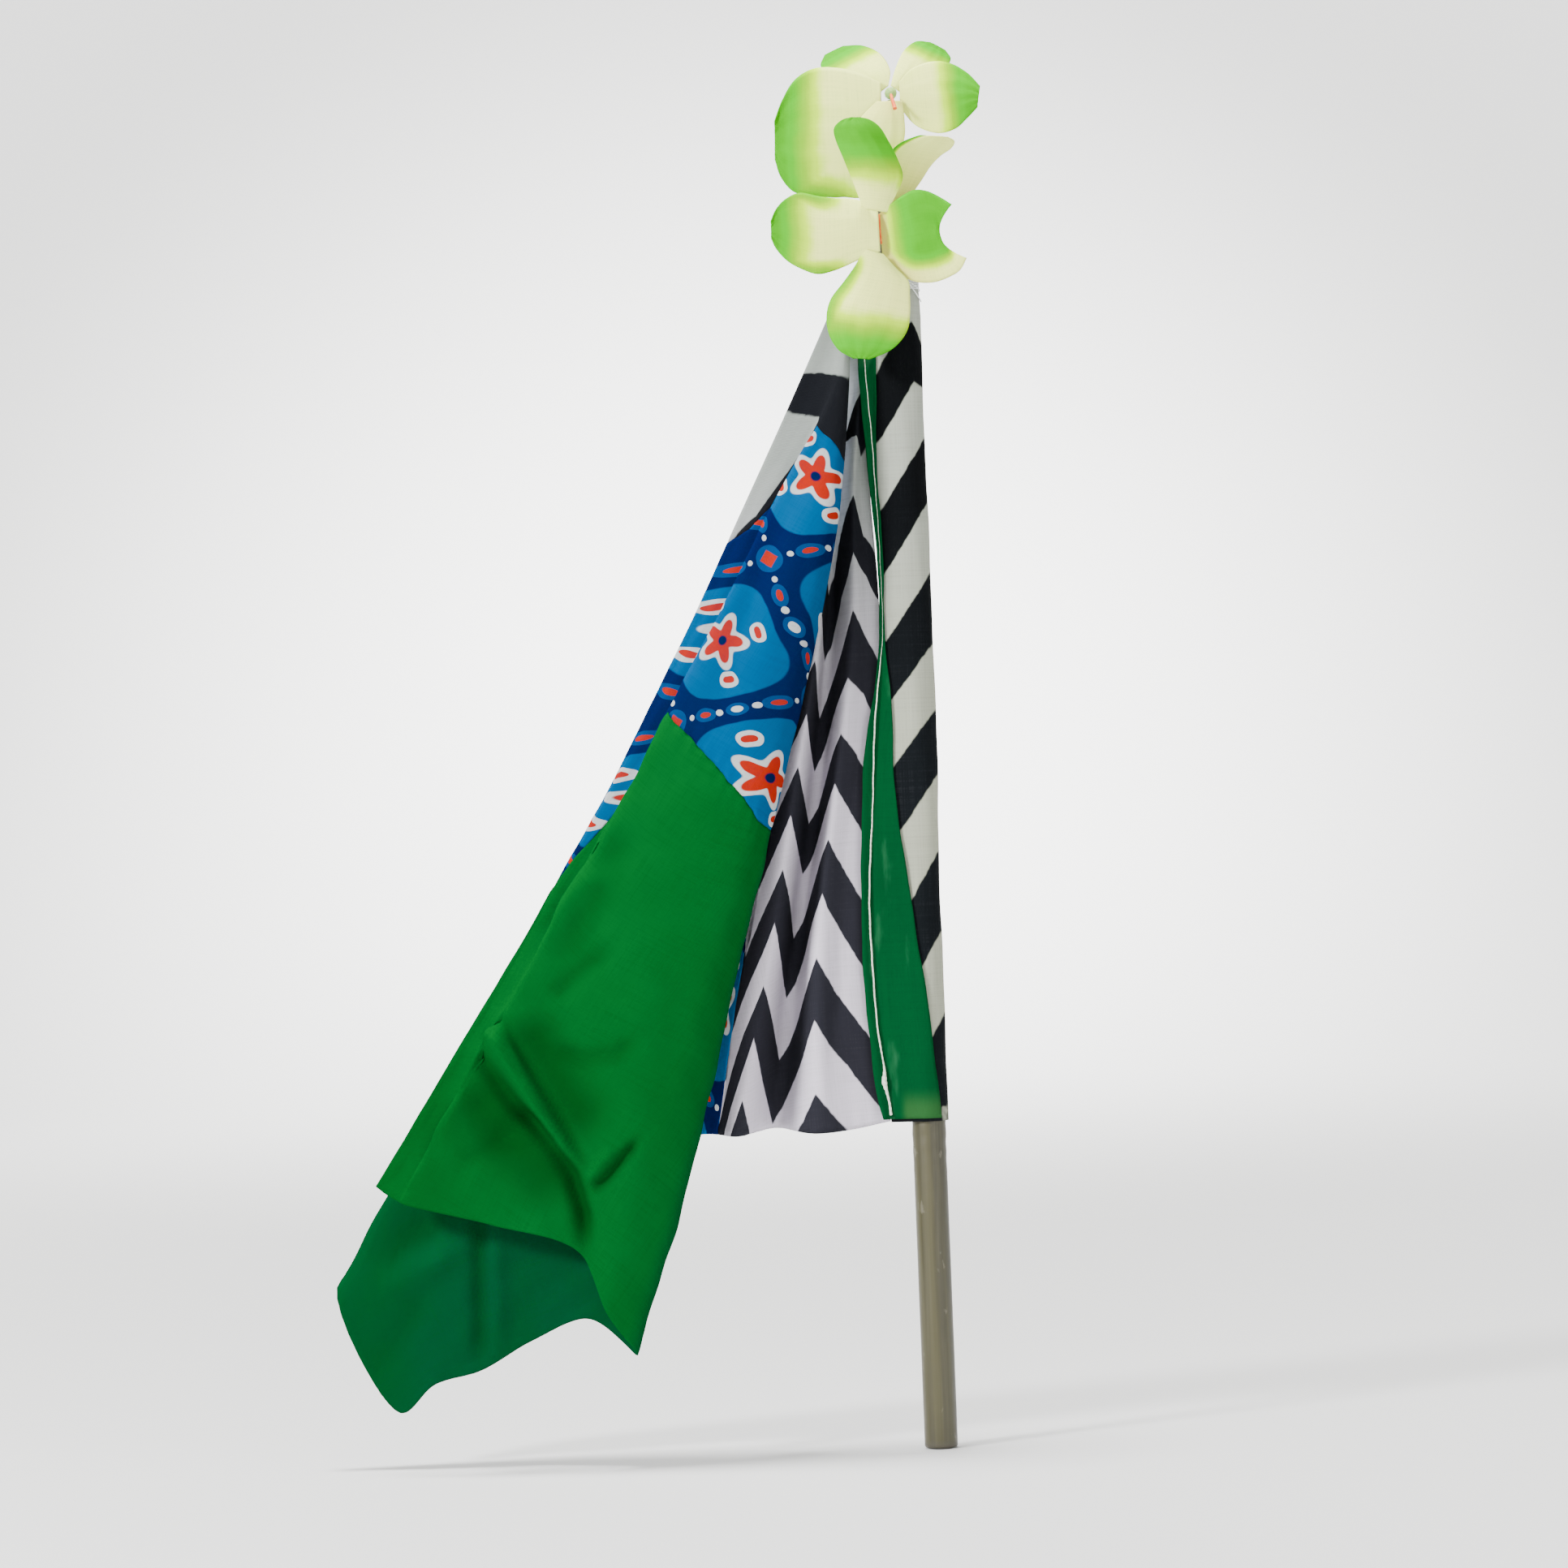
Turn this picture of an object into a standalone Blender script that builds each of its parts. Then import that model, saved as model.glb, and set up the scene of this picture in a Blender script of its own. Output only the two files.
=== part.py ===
"""A stick flag: a patchwork cloth flag hanging limp from a round stick, with two cloth flowers at its top.

The stick stands on the Z axis with its foot at the origin. X runs to the right and Y away from the viewer.
The tables are in millimetres, and the meshes are made in metres.
"""

import math
from collections import namedtuple

import bpy
import numpy as np

MM = 0.001

STICK_RADIUS = 8.0
STICK_LENGTH = 609.0
STICK_EDGE = 1.2
STICK_SIDES = 28

CLOTH_THICKNESS = 1.2
PETAL_THICKNESS = 1.0
PIECE_GAP = 0.3

# The cloth is gathered at the top of the sleeve and spreads downwards from there.
GATHER_HEIGHT = 540.0
STATIONS = (0.0, 0.1, 0.2, 0.4, 0.6, 0.8, 1.0)

# Each fold runs from the gather down to the cloth's lower edge.
# foot: height of its lower end. across: X at the stations. out: distance towards the viewer at the stations.
# chevron_end and print_end: how far down the fold, from 0 to 1, the chevron and the printed panel reach.
Fold = namedtuple("Fold", "name foot across out chevron_end print_end")
FOLDS = (
    Fold("hoist", 154, (-12, -14, -16, -14, -21, -24, -18), (3, 3, 3, 3, 3, 3, 3), 1, 1),
    Fold("flank", 151, (-13, -17, -20, -20, -30, -38, -36), (3.5, 4, 4, 5, 6, 8, 7), 1, 1),
    Fold("right_crest", 150, (-14.5, -18.5, -23, -27, -39, -50, -53), (4, 5.5, 8, 10, 12, 14, 13), 1, 1),
    Fold("valley_right", 152, (-16, -20, -24.5, -33, -45, -58, -70), (3, 2.5, -1, -7, -12, -13, -11), 1, 1),
    Fold("valley_left", 152, (-17.5, -22, -27.5, -37, -49, -62, -74), (2.8, 2.5, -1, -7, -12, -13, -11), 1, 1),
    Fold("left_crest", 150, (-19, -24, -30, -41.5, -58, -73, -91), (2.6, 4, 6.5, 9, 11, 12, 11), 1, 1),
    Fold("panel_line", 151, (-20.5, -26, -33, -47, -65, -84, -99), (1.8, 3, 4, 5, 6, 7, 6), 1, 1),
    Fold("back_right", 151, (-22, -28, -36, -51, -69, -89, -107), (0.2, 1, 1, 2, 2, 2, 2), 0.705, 1),
    Fold("back_middle", 140, (-23.5, -32, -45, -68, -92, -118, -143), (-2.5, -3, -5, -8, -9, -10, -9), 0.55, 0.93),
    Fold("back_wide", 115, (-24.5, -37, -56, -88, -122, -155, -190), (-5.5, -7, -11, -15, -17, -17, -15), 0.42, 0.80),
    Fold("back_left", 79, (-26, -41, -64, -106, -151, -197, -241), (-7, -9.5, -13, -17, -19, -17, -13), 0.34, 0.70),
    Fold("left_turn", 85, (-28, -45, -69, -116, -167, -227, -280), (-4.5, -5, -5, -6, -6, -5, -4), 0.28, 0.66),
    Fold("tip", 26, (-26.5, -43, -71, -123, -177, -227, -253), (-2, 0, 2, 4, 5, 4, 2), 0.25, 0.62),
    Fold("inner_left", 39, (-24.5, -39, -67, -118, -167, -209, -236), (-0.5, 1.5, 5, 8, 9, 7, 5), 0.23, 0.59),
    Fold("inner_crease", 45, (-23.5, -36, -61, -109, -150, -186, -214), (0.8, 3.5, 8, 12, 11, 10, 8), 0.21, 0.57),
    Fold("inner_middle", 58, (-22.5, -31.5, -51, -91, -127, -159, -190), (1.8, 5.5, 10, 13, 14, 14, 10), 0.19, 0.55),
    Fold("inner_right", 68, (-22, -28, -39, -66, -98, -130, -162), (4, 8, 12, 16, 18, 20, 17), 0.175, 0.525),
    Fold("right_turn", 51, (-21.5, -25, -31, -54, -82, -108, -140), (8, 14, 18, 24, 28, 30, 26), 0.159, 0.505),
    Fold("front_right", 77, (-22, -25.5, -33, -57, -87, -119, -153), (11, 19, 26, 34, 39, 41, 35), 0.157, 0.518),
    Fold("front_middle", 101, (-23, -27, -38, -69, -103, -136, -166), (12, 20, 28, 37, 42, 42, 33), 0.155, 0.51),
    Fold("front_left", 114, (-24, -28.5, -47, -87, -131, -176, -204), (12, 20, 27, 35, 39, 36, 28), 0.15, 0.477),
    Fold("step", 125, (-25, -30.5, -54, -100, -155, -199, -245), (11, 19, 25, 31, 34, 32, 25), 0.1445, 0.459),
    Fold("tuck", 127, (-26, -33, -52, -99, -154, -200, -249), (10, 16, 20, 25, 29, 30, 24), 0.21, 0.56),
    Fold("under_strip", 130, (-27, -39, -60, -104, -155, -203, -254), (9.5, 14, 18, 23, 27, 28, 23), 0.26, 0.64),
    Fold("free_edge", 134, (-28.5, -48, -68, -109, -154, -206, -259), (9, 13, 16, 21, 26, 27, 22), 0.278, 0.674),
)
FOLD_NAMES = [fold.name for fold in FOLDS]
LAST_FOLD = len(FOLDS) - 1

# The chevron's last seam leaves the panel line a little way towards the next fold, at this fraction down.
SEAM_LEAVES = FOLD_NAMES.index("panel_line") + 0.12
SEAM_LEAVES_AT = 0.79
# What the facets of two panels take off the gap along their seam.
SEAM_SAG = 0.2

# Folds that turn tightly, so that the cloth takes more points beside them.
TIGHT_TURNS = ("left_turn", "step", "tuck")

CHEVRON_ROWS = 12
PRINT_ROWS = 8
PLAIN_ROWS = 12

# How far the sleeve's right side reaches: it stands off the stick in the upper part.
SleeveSide = namedtuple("SleeveSide", "height right")
SLEEVE_SIDES = (
    SleeveSide(154, 9.6),
    SleeveSide(250, 9.6),
    SleeveSide(311, 10.5),
    SleeveSide(370, 11.1),
    SleeveSide(465, 10.4),
    SleeveSide(530, 10.8),
    SleeveSide(551, 9.8),
)
SLEEVE_TOP = 551.0
SLEEVE_RADIUS = STICK_RADIUS + PIECE_GAP + CLOTH_THICKNESS
SLEEVE_TIP_RADIUS = 1.0
SLEEVE_TIP_OUT = 3.0
SLEEVE_ARC_STEPS = 14

# The facing strip laid over the seam, from its lower end to its upper one.
FacingRow = namedtuple("FacingRow", "height left right")
FACING = (
    FacingRow(155, -21.0, 6.0),
    FacingRow(163, -23.2, 5.5),
    FacingRow(194, -26.4, 2.9),
    FacingRow(216, -27.6, 0.8),
    FacingRow(231, -28.3, -1.3),
    FacingRow(257, -27.6, -4.1),
    FacingRow(292, -26.3, -8.6),
    FacingRow(326, -23.5, -10.1),
    FacingRow(341, -21.0, -9.9),
    FacingRow(356, -17.8, -10.5),
    FacingRow(375, -14.8, -11.6),
    FacingRow(413, -14.0, -11.4),
    FacingRow(433, -14.6, -11.6),
    FacingRow(452, -16.3, -12.2),
    FacingRow(469, -17.5, -12.4),
    FacingRow(494, -18.8, -11.6),
    FacingRow(509, -19.4, -11.0),
    FacingRow(532, -18.6, -10.8),
)
FACING_STEPS = 7
FACING_LEFT_LIFT = 2.4
FACING_THICKNESS = 1.0
# What the flat facets of the strip and of the sleeve take off the gap between them.
FACING_SAG = 0.45

# The pale cord sewn down the facing, as X at a height.
CordPoint = namedtuple("CordPoint", "height across")
FACING_CORD = (
    CordPoint(158, -18.2),
    CordPoint(172, -19.6),
    CordPoint(194, -22.0),
    CordPoint(228, -23.6),
    CordPoint(252, -24.0),
    CordPoint(303, -20.6),
    CordPoint(345, -17.6),
    CordPoint(362, -15.4),
    CordPoint(378, -13.2),
    CordPoint(413, -12.6),
    CordPoint(436, -13.0),
    CordPoint(452, -13.6),
    CordPoint(474, -14.3),
    CordPoint(492, -15.4),
    CordPoint(528, -17.2),
)
CORD_RADIUS = 0.5
CORD_STEPS = 40

# The thread that ties the flowers to the stick, wound over the sleeve's top.
THREAD_RADIUS = 0.4
THREAD_TURNS = 3
THREAD_LOW = 543.5
THREAD_HIGH = 549.5
THREAD_POINTS_PER_TURN = 20

# Petals, each from the flower's centre. tip: X, distance out and height of the tip. width: the greatest.
# bow: how far the middle arches out. cup: how far the sides curl out. notch: how far the tip is hollowed.
# roll: degrees turned about the petal's own length.
Petal = namedtuple("Petal", "name tip width bow cup notch roll")
LOWER_FLOWER_CENTRE = (-7.0, 20.0, 575.0)
LOWER_PETALS = (
    Petal("left", (-50.5, 0.0, -6.0), 39, 4, 4, 0, 0),
    Petal("bottom", (-13.0, 9.0, -64.0), 39, 3, -3, 0, 0),
    Petal("right", (38.0, 4.0, -9.0), 42, 5, 6, 0.22, 0),
    Petal("top", (-10.0, 22.0, 45.0), 31, 6, 5, 0, 12),
    Petal("upper_right", (36.0, -6.0, 32.0), 24, -2, 4, 0, 42),
)
UPPER_FLOWER_CENTRE = (0.8, 8.0, 635.0)
UPPER_PETALS = (
    Petal("left", (-55.0, 0.0, -20.0), 42, 2, 3, 0, 0),
    Petal("bottom", (-7.0, 9.0, -38.0), 29, 4, -2, 0, 0),
    Petal("right", (45.0, 2.0, -8.0), 33, 4, 5, 0, 0),
    Petal("upper_left", (-28.0, -22.0, 22.0), 36, 4, 4, 0, 0),
    Petal("upper_right", (24.0, -22.0, 24.0), 36, 4, 4, 0, 0),
)
PETAL_START = 3.5
PETAL_WIDEST = 0.62
PETAL_ROWS = 8
PETAL_COLUMNS = 6
CALYX_RADIUS = 3.4
HEART_RADIUS = 3.0
HEART_RINGS = 6
HEART_SIDES = 12
STAMEN_LENGTH = 11.0
STAMEN_RADIUS = 0.9


def clear_scene():
    for thing in list(bpy.data.objects):
        bpy.data.objects.remove(thing, do_unlink=True)


def finish_material(name, colour, roughness, metallic=0.0):
    """A Principled material with the piece's own colour."""
    material = bpy.data.materials.new(name)
    material.use_nodes = True
    shader = material.node_tree.nodes["Principled BSDF"]
    shader.inputs["Base Color"].default_value = (*colour, 1.0)
    shader.inputs["Roughness"].default_value = roughness
    shader.inputs["Metallic"].default_value = metallic
    return material


def make_materials():
    return {
        "stick": finish_material("stick", (0.23, 0.21, 0.15), 0.42),
        "chevron": finish_material("chevron", (0.62, 0.62, 0.65), 0.9),
        "sleeve": finish_material("sleeve", (0.55, 0.55, 0.50), 0.9),
        "facing": finish_material("facing", (0.01, 0.25, 0.09), 0.85),
        "print": finish_material("print", (0.01, 0.19, 0.42), 0.85),
        "plain": finish_material("plain", (0.005, 0.22, 0.05), 0.85),
        "cord": finish_material("cord", (0.72, 0.74, 0.66), 0.8),
        "thread": finish_material("thread", (0.80, 0.82, 0.80), 0.6),
        "petal": finish_material("petal", (0.62, 0.74, 0.30), 0.8),
        "calyx": finish_material("calyx", (0.20, 0.35, 0.08), 0.6),
        "stamen": finish_material("stamen", (0.75, 0.14, 0.03), 0.6),
    }


def add_mesh(name, points, faces, material, smooth_angle=math.radians(50)):
    """An object from points in millimetres."""
    mesh = bpy.data.meshes.new(name)
    mesh.from_pydata([tuple(point) for point in np.asarray(points) * MM], [], faces)
    mesh.materials.append(material)
    mesh.shade_smooth()
    mesh.set_sharp_from_angle(angle=smooth_angle)
    piece = bpy.data.objects.new(name, mesh)
    bpy.context.scene.collection.objects.link(piece)
    return piece


def hermite(stations, values, where):
    """A smooth curve through values at the stations, read at where."""
    stations = np.asarray(stations, float)
    values = np.asarray(values, float)
    slopes = np.gradient(values, stations)
    where = np.clip(where, stations[0], stations[-1])
    index = np.clip(np.searchsorted(stations, where, side="right") - 1, 0, len(stations) - 2)
    span = stations[index + 1] - stations[index]
    u = (where - stations[index]) / span
    start = (1 + 2 * u) * (1 - u) ** 2
    start_slope = u * (1 - u) ** 2
    end = u**2 * (3 - 2 * u)
    end_slope = u**2 * (u - 1)
    return (
        start * values[index]
        + start_slope * span * slopes[index]
        + end * values[index + 1]
        + end_slope * span * slopes[index + 1]
    )


def fold_point(index, down):
    """The point of one fold at a fraction of its way down."""
    fold = FOLDS[min(max(index, 0), LAST_FOLD)]
    height = GATHER_HEIGHT + (fold.foot - GATHER_HEIGHT) * down
    return np.array([
        float(hermite(STATIONS, fold.across, down)),
        -float(hermite(STATIONS, fold.out, down)),
        height,
    ])


def between(points, share):
    """A centripetal Catmull-Rom point between the second and the third of four points."""
    knots = [0.0]
    for first, second in zip(points, points[1:]):
        knots.append(knots[-1] + max(np.linalg.norm(second - first), 1e-6) ** 0.5)
    at = knots[1] + share * (knots[2] - knots[1])

    def blend(low, high, first, second):
        return ((high - at) * first + (at - low) * second) / (high - low)

    layer = [blend(knots[i], knots[i + 1], points[i], points[i + 1]) for i in range(3)]
    layer = [blend(knots[i], knots[i + 2], layer[i], layer[i + 1]) for i in range(2)]
    return blend(knots[1], knots[2], layer[0], layer[1])


def cloth_point(across, down):
    """The cloth's middle surface: across counts the folds, down runs from the gather to the lower edge."""
    index = min(int(across), LAST_FOLD - 1)
    share = across - index
    points = [fold_point(index + step, down) for step in (-1, 0, 1, 2)]
    if index == 0:
        points[0] = 2 * points[1] - points[2]
    if index == LAST_FOLD - 1:
        points[3] = 2 * points[2] - points[1]
    return between(points, share)


def cloth_normal(across, down):
    """The direction square to the cloth, on the side that faces out where the cloth is in front."""
    step = 0.02
    left = cloth_point(min(across + step, LAST_FOLD), down)
    right = cloth_point(max(across - step, 0.0), down)
    low = cloth_point(across, min(down + step, 1.0))
    high = cloth_point(across, max(down - step, 0.0))
    normal = np.cross(left - right, low - high)
    return normal / np.linalg.norm(normal)


def chevron_seam(across):
    """How far down the chevron panel reaches."""
    places = list(range(len(FOLDS)))
    ends = [fold.chevron_end for fold in FOLDS]
    after = FOLD_NAMES.index("panel_line") + 1
    places.insert(after, SEAM_LEAVES)
    ends.insert(after, SEAM_LEAVES_AT)
    return float(np.interp(across, places, ends))


def print_seam(across):
    """How far down the printed panel reaches."""
    return float(np.interp(across, range(len(FOLDS)), [fold.print_end for fold in FOLDS]))


def seam_share(across, seam, gap):
    """The fraction of a fold's length that leaves a gap square to a slanting seam."""
    step = 0.1
    first = max(across - step, 0.0)
    second = min(across + step, LAST_FOLD)
    run = cloth_point(second, seam(second)) - cloth_point(first, seam(first))
    down = cloth_point(across, min(seam(across) + 0.01, 1.0)) - cloth_point(across, seam(across) - 0.01)
    length = np.linalg.norm(down) / 0.02
    sine = np.linalg.norm(np.cross(run, down)) / (np.linalg.norm(run) * np.linalg.norm(down))
    return gap / max(sine, 0.08) / length


def thick_sheet(rows_of_points, rows_of_normals, thickness):
    """A closed solid from a grid of middle points and their normals."""
    rows = len(rows_of_points)
    columns = len(rows_of_points[0])
    middle = np.array(rows_of_points).reshape(-1, 3)
    offset = np.array(rows_of_normals).reshape(-1, 3) * thickness / 2
    points = np.vstack([middle + offset, middle - offset])
    back = rows * columns
    faces = []
    for row in range(rows - 1):
        for column in range(columns - 1):
            a = row * columns + column
            b, c, d = a + 1, a + columns + 1, a + columns
            faces.append((a, b, c, d))
            faces.append((back + d, back + c, back + b, back + a))
    rim = list(range(columns))
    rim += [row * columns + columns - 1 for row in range(1, rows)]
    rim += [(rows - 1) * columns + column for column in range(columns - 2, -1, -1)]
    rim += [row * columns for row in range(rows - 2, 0, -1)]
    for first, second in zip(rim, rim[1:] + rim[:1]):
        faces.append((second, first, back + first, back + second))
    return points, faces


def turned_outward(points, faces):
    """The faces, turned round if the solid they close is inside out."""
    volume = 0.0
    for face in faces:
        for second, third in zip(face[1:], face[2:]):
            volume += np.dot(points[face[0]], np.cross(points[second], points[third]))
    return faces if volume > 0 else [tuple(reversed(face)) for face in faces]


def section_places(first, last):
    """Places across the folds: on each fold and halfway to the next, and closer at the tight turns."""
    places = {first + step / 2 for step in range(int(round((last - first) * 2)) + 1)}
    for name in TIGHT_TURNS:
        turn = FOLD_NAMES.index(name)
        places |= {turn - 0.25, turn + 0.25}
    places |= {FOLD_NAMES.index("step") + share for share in (0.35, 0.65)}
    places.add(SEAM_LEAVES)
    return sorted(place for place in places if first <= place <= last)


def cloth_panel(name, places, top, bottom, rows, material):
    """One panel of the flag between two limits, each a function of the place across."""
    points = []
    normals = []
    limits = [(top(place), bottom(place)) for place in places]
    for row in range(rows + 1):
        share = row / rows
        downs = [low + (high - low) * share for low, high in limits]
        points.append([cloth_point(place, down) for place, down in zip(places, downs)])
        normals.append([cloth_normal(place, down) for place, down in zip(places, downs)])
    solid, faces = thick_sheet(points, normals, CLOTH_THICKNESS)
    return add_mesh(name, solid, turned_outward(solid, faces), material)


def make_panels(materials):
    """The chevron, printed and plain panels, side by side along their seams."""
    half_gap = PIECE_GAP / 2 + SEAM_SAG

    def above(seam):
        return lambda place: seam(place) - seam_share(place, seam, half_gap) * (seam(place) < 1)

    def below(seam):
        return lambda place: seam(place) + seam_share(place, seam, half_gap)

    print_from = SEAM_LEAVES
    plain_from = FOLD_NAMES.index("back_middle")
    cloth_panel(
        "chevron_panel",
        section_places(0, LAST_FOLD),
        lambda place: 0.0,
        above(chevron_seam),
        CHEVRON_ROWS,
        materials["chevron"],
    )
    print_places = [place for place in section_places(0, LAST_FOLD) if place >= print_from]
    cloth_panel(
        "print_panel",
        print_places,
        below(chevron_seam),
        above(print_seam),
        PRINT_ROWS,
        materials["print"],
    )
    cloth_panel(
        "plain_panel",
        section_places(plain_from, LAST_FOLD),
        below(print_seam),
        lambda place: 1.0,
        PLAIN_ROWS,
        materials["plain"],
    )


def seam_at(height):
    """X of the seam where the sleeve's tip meets the chevron panel's hoist edge."""
    hoist = FOLDS[0]
    down = (GATHER_HEIGHT - height) / (GATHER_HEIGHT - hoist.foot)
    return float(hermite(STATIONS, hoist.across, down)) + PIECE_GAP + 0.2


def sleeve_right(height):
    return float(np.interp(height, [row.height for row in SLEEVE_SIDES], [row.right for row in SLEEVE_SIDES]))


def sleeve_levels():
    """The sleeve has a ring at each row of the facing, so that the two keep their gap."""
    return [row.height for row in FACING] + [GATHER_HEIGHT + 2, SLEEVE_TOP]


def sleeve_ring(seam, right, radius, tip_radius, tip_inset):
    """A drop-shaped ring: round on the stick and drawn to a tip at the seam, in X and distance out."""
    tip = np.array([seam + tip_radius + tip_inset, SLEEVE_TIP_OUT])
    reach = np.linalg.norm(tip)
    lean = math.atan2(tip[1], -tip[0])
    open_angle = math.acos((radius - tip_radius) / reach)
    ring = []
    for step in range(SLEEVE_ARC_STEPS + 1):
        turn = math.pi - lean - open_angle - step / SLEEVE_ARC_STEPS * 2 * (math.pi - open_angle)
        x = radius * math.cos(turn)
        stretch = right / SLEEVE_RADIUS
        ring.append((x * stretch if x > 0 else x, radius * math.sin(turn)))
    for step in range(1, 4):
        turn = math.pi - lean + open_angle - step / 4 * 2 * open_angle
        ring.append((tip[0] + tip_radius * math.cos(turn), tip[1] + tip_radius * math.sin(turn)))
    return ring


def make_sleeve(material):
    """The chevron sleeve that holds the stick, open at both ends."""
    inner_radius = STICK_RADIUS + PIECE_GAP
    levels = sleeve_levels()
    points = []
    for height in levels:
        seam = seam_at(height)
        right = sleeve_right(height)
        outer = sleeve_ring(seam, right, SLEEVE_RADIUS, SLEEVE_TIP_RADIUS, 0.0)
        inner = sleeve_ring(seam, right, inner_radius, 0.2, CLOTH_THICKNESS + 1.0)
        points += [(x, -out, height) for x, out in outer + inner]
    count = len(outer)
    faces = []
    for level in range(len(levels) - 1):
        low = level * 2 * count
        high = low + 2 * count
        for step in range(count):
            after = (step + 1) % count
            faces.append((low + step, low + after, high + after, high + step))
            faces.append((low + count + after, low + count + step, high + count + step, high + count + after))
    top = (len(levels) - 1) * 2 * count
    for step in range(count):
        after = (step + 1) % count
        faces.append((after, step, count + step, count + after))
        faces.append((top + step, top + after, top + count + after, top + count + step))
    points = np.array(points)
    return add_mesh("stick_sleeve", points, turned_outward(points, faces), material)


def sleeve_front(across, height):
    """How far out the sleeve's front stands."""
    ring = sleeve_ring(seam_at(height), sleeve_right(height), SLEEVE_RADIUS, SLEEVE_TIP_RADIUS, 0.0)
    front = sorted(point for point in ring if point[1] > 0)
    return float(np.interp(across, [x for x, _ in front], [out for _, out in front]))


def facing_out(across, height):
    """The middle of the facing strip, which lies over the sleeve and stands off the panel on its left."""
    seam = seam_at(height)
    clear = PIECE_GAP + FACING_SAG + FACING_THICKNESS / 2
    out = sleeve_front(max(across, seam + SLEEVE_TIP_RADIUS), height) + clear
    past = np.clip((seam + SLEEVE_TIP_RADIUS - across) / 4, 0, 1)
    return out + FACING_LEFT_LIFT * past


def facing_edges(height):
    heights = [row.height for row in FACING]
    left = hermite(heights, [row.left for row in FACING], height)
    right = hermite(heights, [row.right for row in FACING], height)
    return float(left), float(right)


def make_facing(material):
    """The green strip that covers the seam beside the stick."""
    points = []
    normals = []
    for row in FACING:
        left, right = facing_edges(row.height)
        line = []
        for step in range(FACING_STEPS + 1):
            across = left + (right - left) * step / FACING_STEPS
            line.append(np.array([across, -facing_out(across, row.height), row.height]))
        points.append(line)
        ahead = line[1:] + [2 * line[-1] - line[-2]]
        behind = [2 * line[0] - line[1]] + line[:-1]
        square = [np.cross(after - before, (0, 0, 1)) for before, after in zip(behind, ahead)]
        normals.append([direction / np.linalg.norm(direction) for direction in square])
    solid, faces = thick_sheet(points, normals, FACING_THICKNESS)
    return add_mesh("facing_strip", solid, turned_outward(solid, faces), material)


def round_line(name, route, radius, material, resolution=2):
    """A round cord or thread along a list of points in millimetres."""
    curve = bpy.data.curves.new(name, "CURVE")
    curve.dimensions = "3D"
    curve.bevel_depth = radius * MM
    curve.bevel_resolution = resolution
    curve.use_fill_caps = True
    line = curve.splines.new("POLY")
    line.points.add(len(route) - 1)
    for point, place in zip(line.points, route):
        point.co = (*(np.asarray(place) * MM), 1.0)
    curve.materials.append(material)
    piece = bpy.data.objects.new(name, curve)
    bpy.context.scene.collection.objects.link(piece)
    return piece


def make_facing_cord(material):
    heights = [point.height for point in FACING_CORD]
    across = [point.across for point in FACING_CORD]
    lift = FACING_THICKNESS / 2 + PIECE_GAP + CORD_RADIUS + 0.15
    route = []
    for height in np.linspace(heights[0], heights[-1], CORD_STEPS):
        x = float(hermite(heights, across, height))
        route.append((x, -facing_out(x, height) - lift, height))
    return round_line("facing_cord", route, CORD_RADIUS, material)


def make_tie_thread(material):
    """Three turns of thread round the top of the sleeve, above the gathered cloth."""
    radius = SLEEVE_RADIUS + PIECE_GAP + THREAD_RADIUS
    count = THREAD_TURNS * THREAD_POINTS_PER_TURN
    route = []
    for step in range(count + 1):
        height = THREAD_LOW + (THREAD_HIGH - THREAD_LOW) * step / count
        right = sleeve_right(height) + PIECE_GAP + THREAD_RADIUS + 0.1
        left = PIECE_GAP + THREAD_RADIUS + 1.2 - seam_at(height)
        turn = 2 * math.pi * step / THREAD_POINTS_PER_TURN
        reach = right if math.cos(turn) > 0 else left
        route.append((reach * math.cos(turn), -(radius + 0.5) * math.sin(turn), height))
    return round_line("tie_thread", route, THREAD_RADIUS, material, resolution=1)


def turned_solid(name, rings, sides, axis, origin, material):
    """A solid of rings, each a distance along the axis and a radius, closed with a point or a flat at its ends."""
    axis = np.asarray(axis, float) / np.linalg.norm(axis)
    helper = np.array([0.0, 0.0, 1.0]) if abs(axis[2]) < 0.9 else np.array([1.0, 0.0, 0.0])
    side = np.cross(axis, helper)
    side /= np.linalg.norm(side)
    other = np.cross(axis, side)
    points = []
    for along, radius in rings:
        for step in range(sides):
            turn = 2 * math.pi * step / sides
            spoke = side * math.cos(turn) + other * math.sin(turn)
            points.append(np.asarray(origin) + axis * along + spoke * radius)
    faces = [tuple(reversed(range(sides)))]
    for ring in range(len(rings) - 1):
        for step in range(sides):
            a = ring * sides + step
            b = ring * sides + (step + 1) % sides
            faces.append((a, b, b + sides, a + sides))
    last = (len(rings) - 1) * sides
    faces.append(tuple(range(last, last + sides)))
    points = np.array(points)
    return add_mesh(name, points, turned_outward(points, faces), material)


def make_stick(material):
    """The round stick, its ends eased."""
    rings = (
        (0.0, STICK_RADIUS - STICK_EDGE),
        (STICK_EDGE, STICK_RADIUS),
        (STICK_LENGTH - STICK_EDGE, STICK_RADIUS),
        (STICK_LENGTH, STICK_RADIUS - STICK_EDGE),
    )
    return turned_solid("stick", rings, STICK_SIDES, (0, 0, 1), (0, 0, 0), material)


def petal_width(share):
    """The half width of a petal, from 0 to 1, at a share of its length: narrow at its foot, round at its tip."""
    if share < PETAL_WIDEST:
        return max(math.sin(math.pi / 2 * share / PETAL_WIDEST) ** 1.3, 0.09)
    return math.sqrt(1 - ((share - PETAL_WIDEST) / (1.03 - PETAL_WIDEST)) ** 2)


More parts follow.
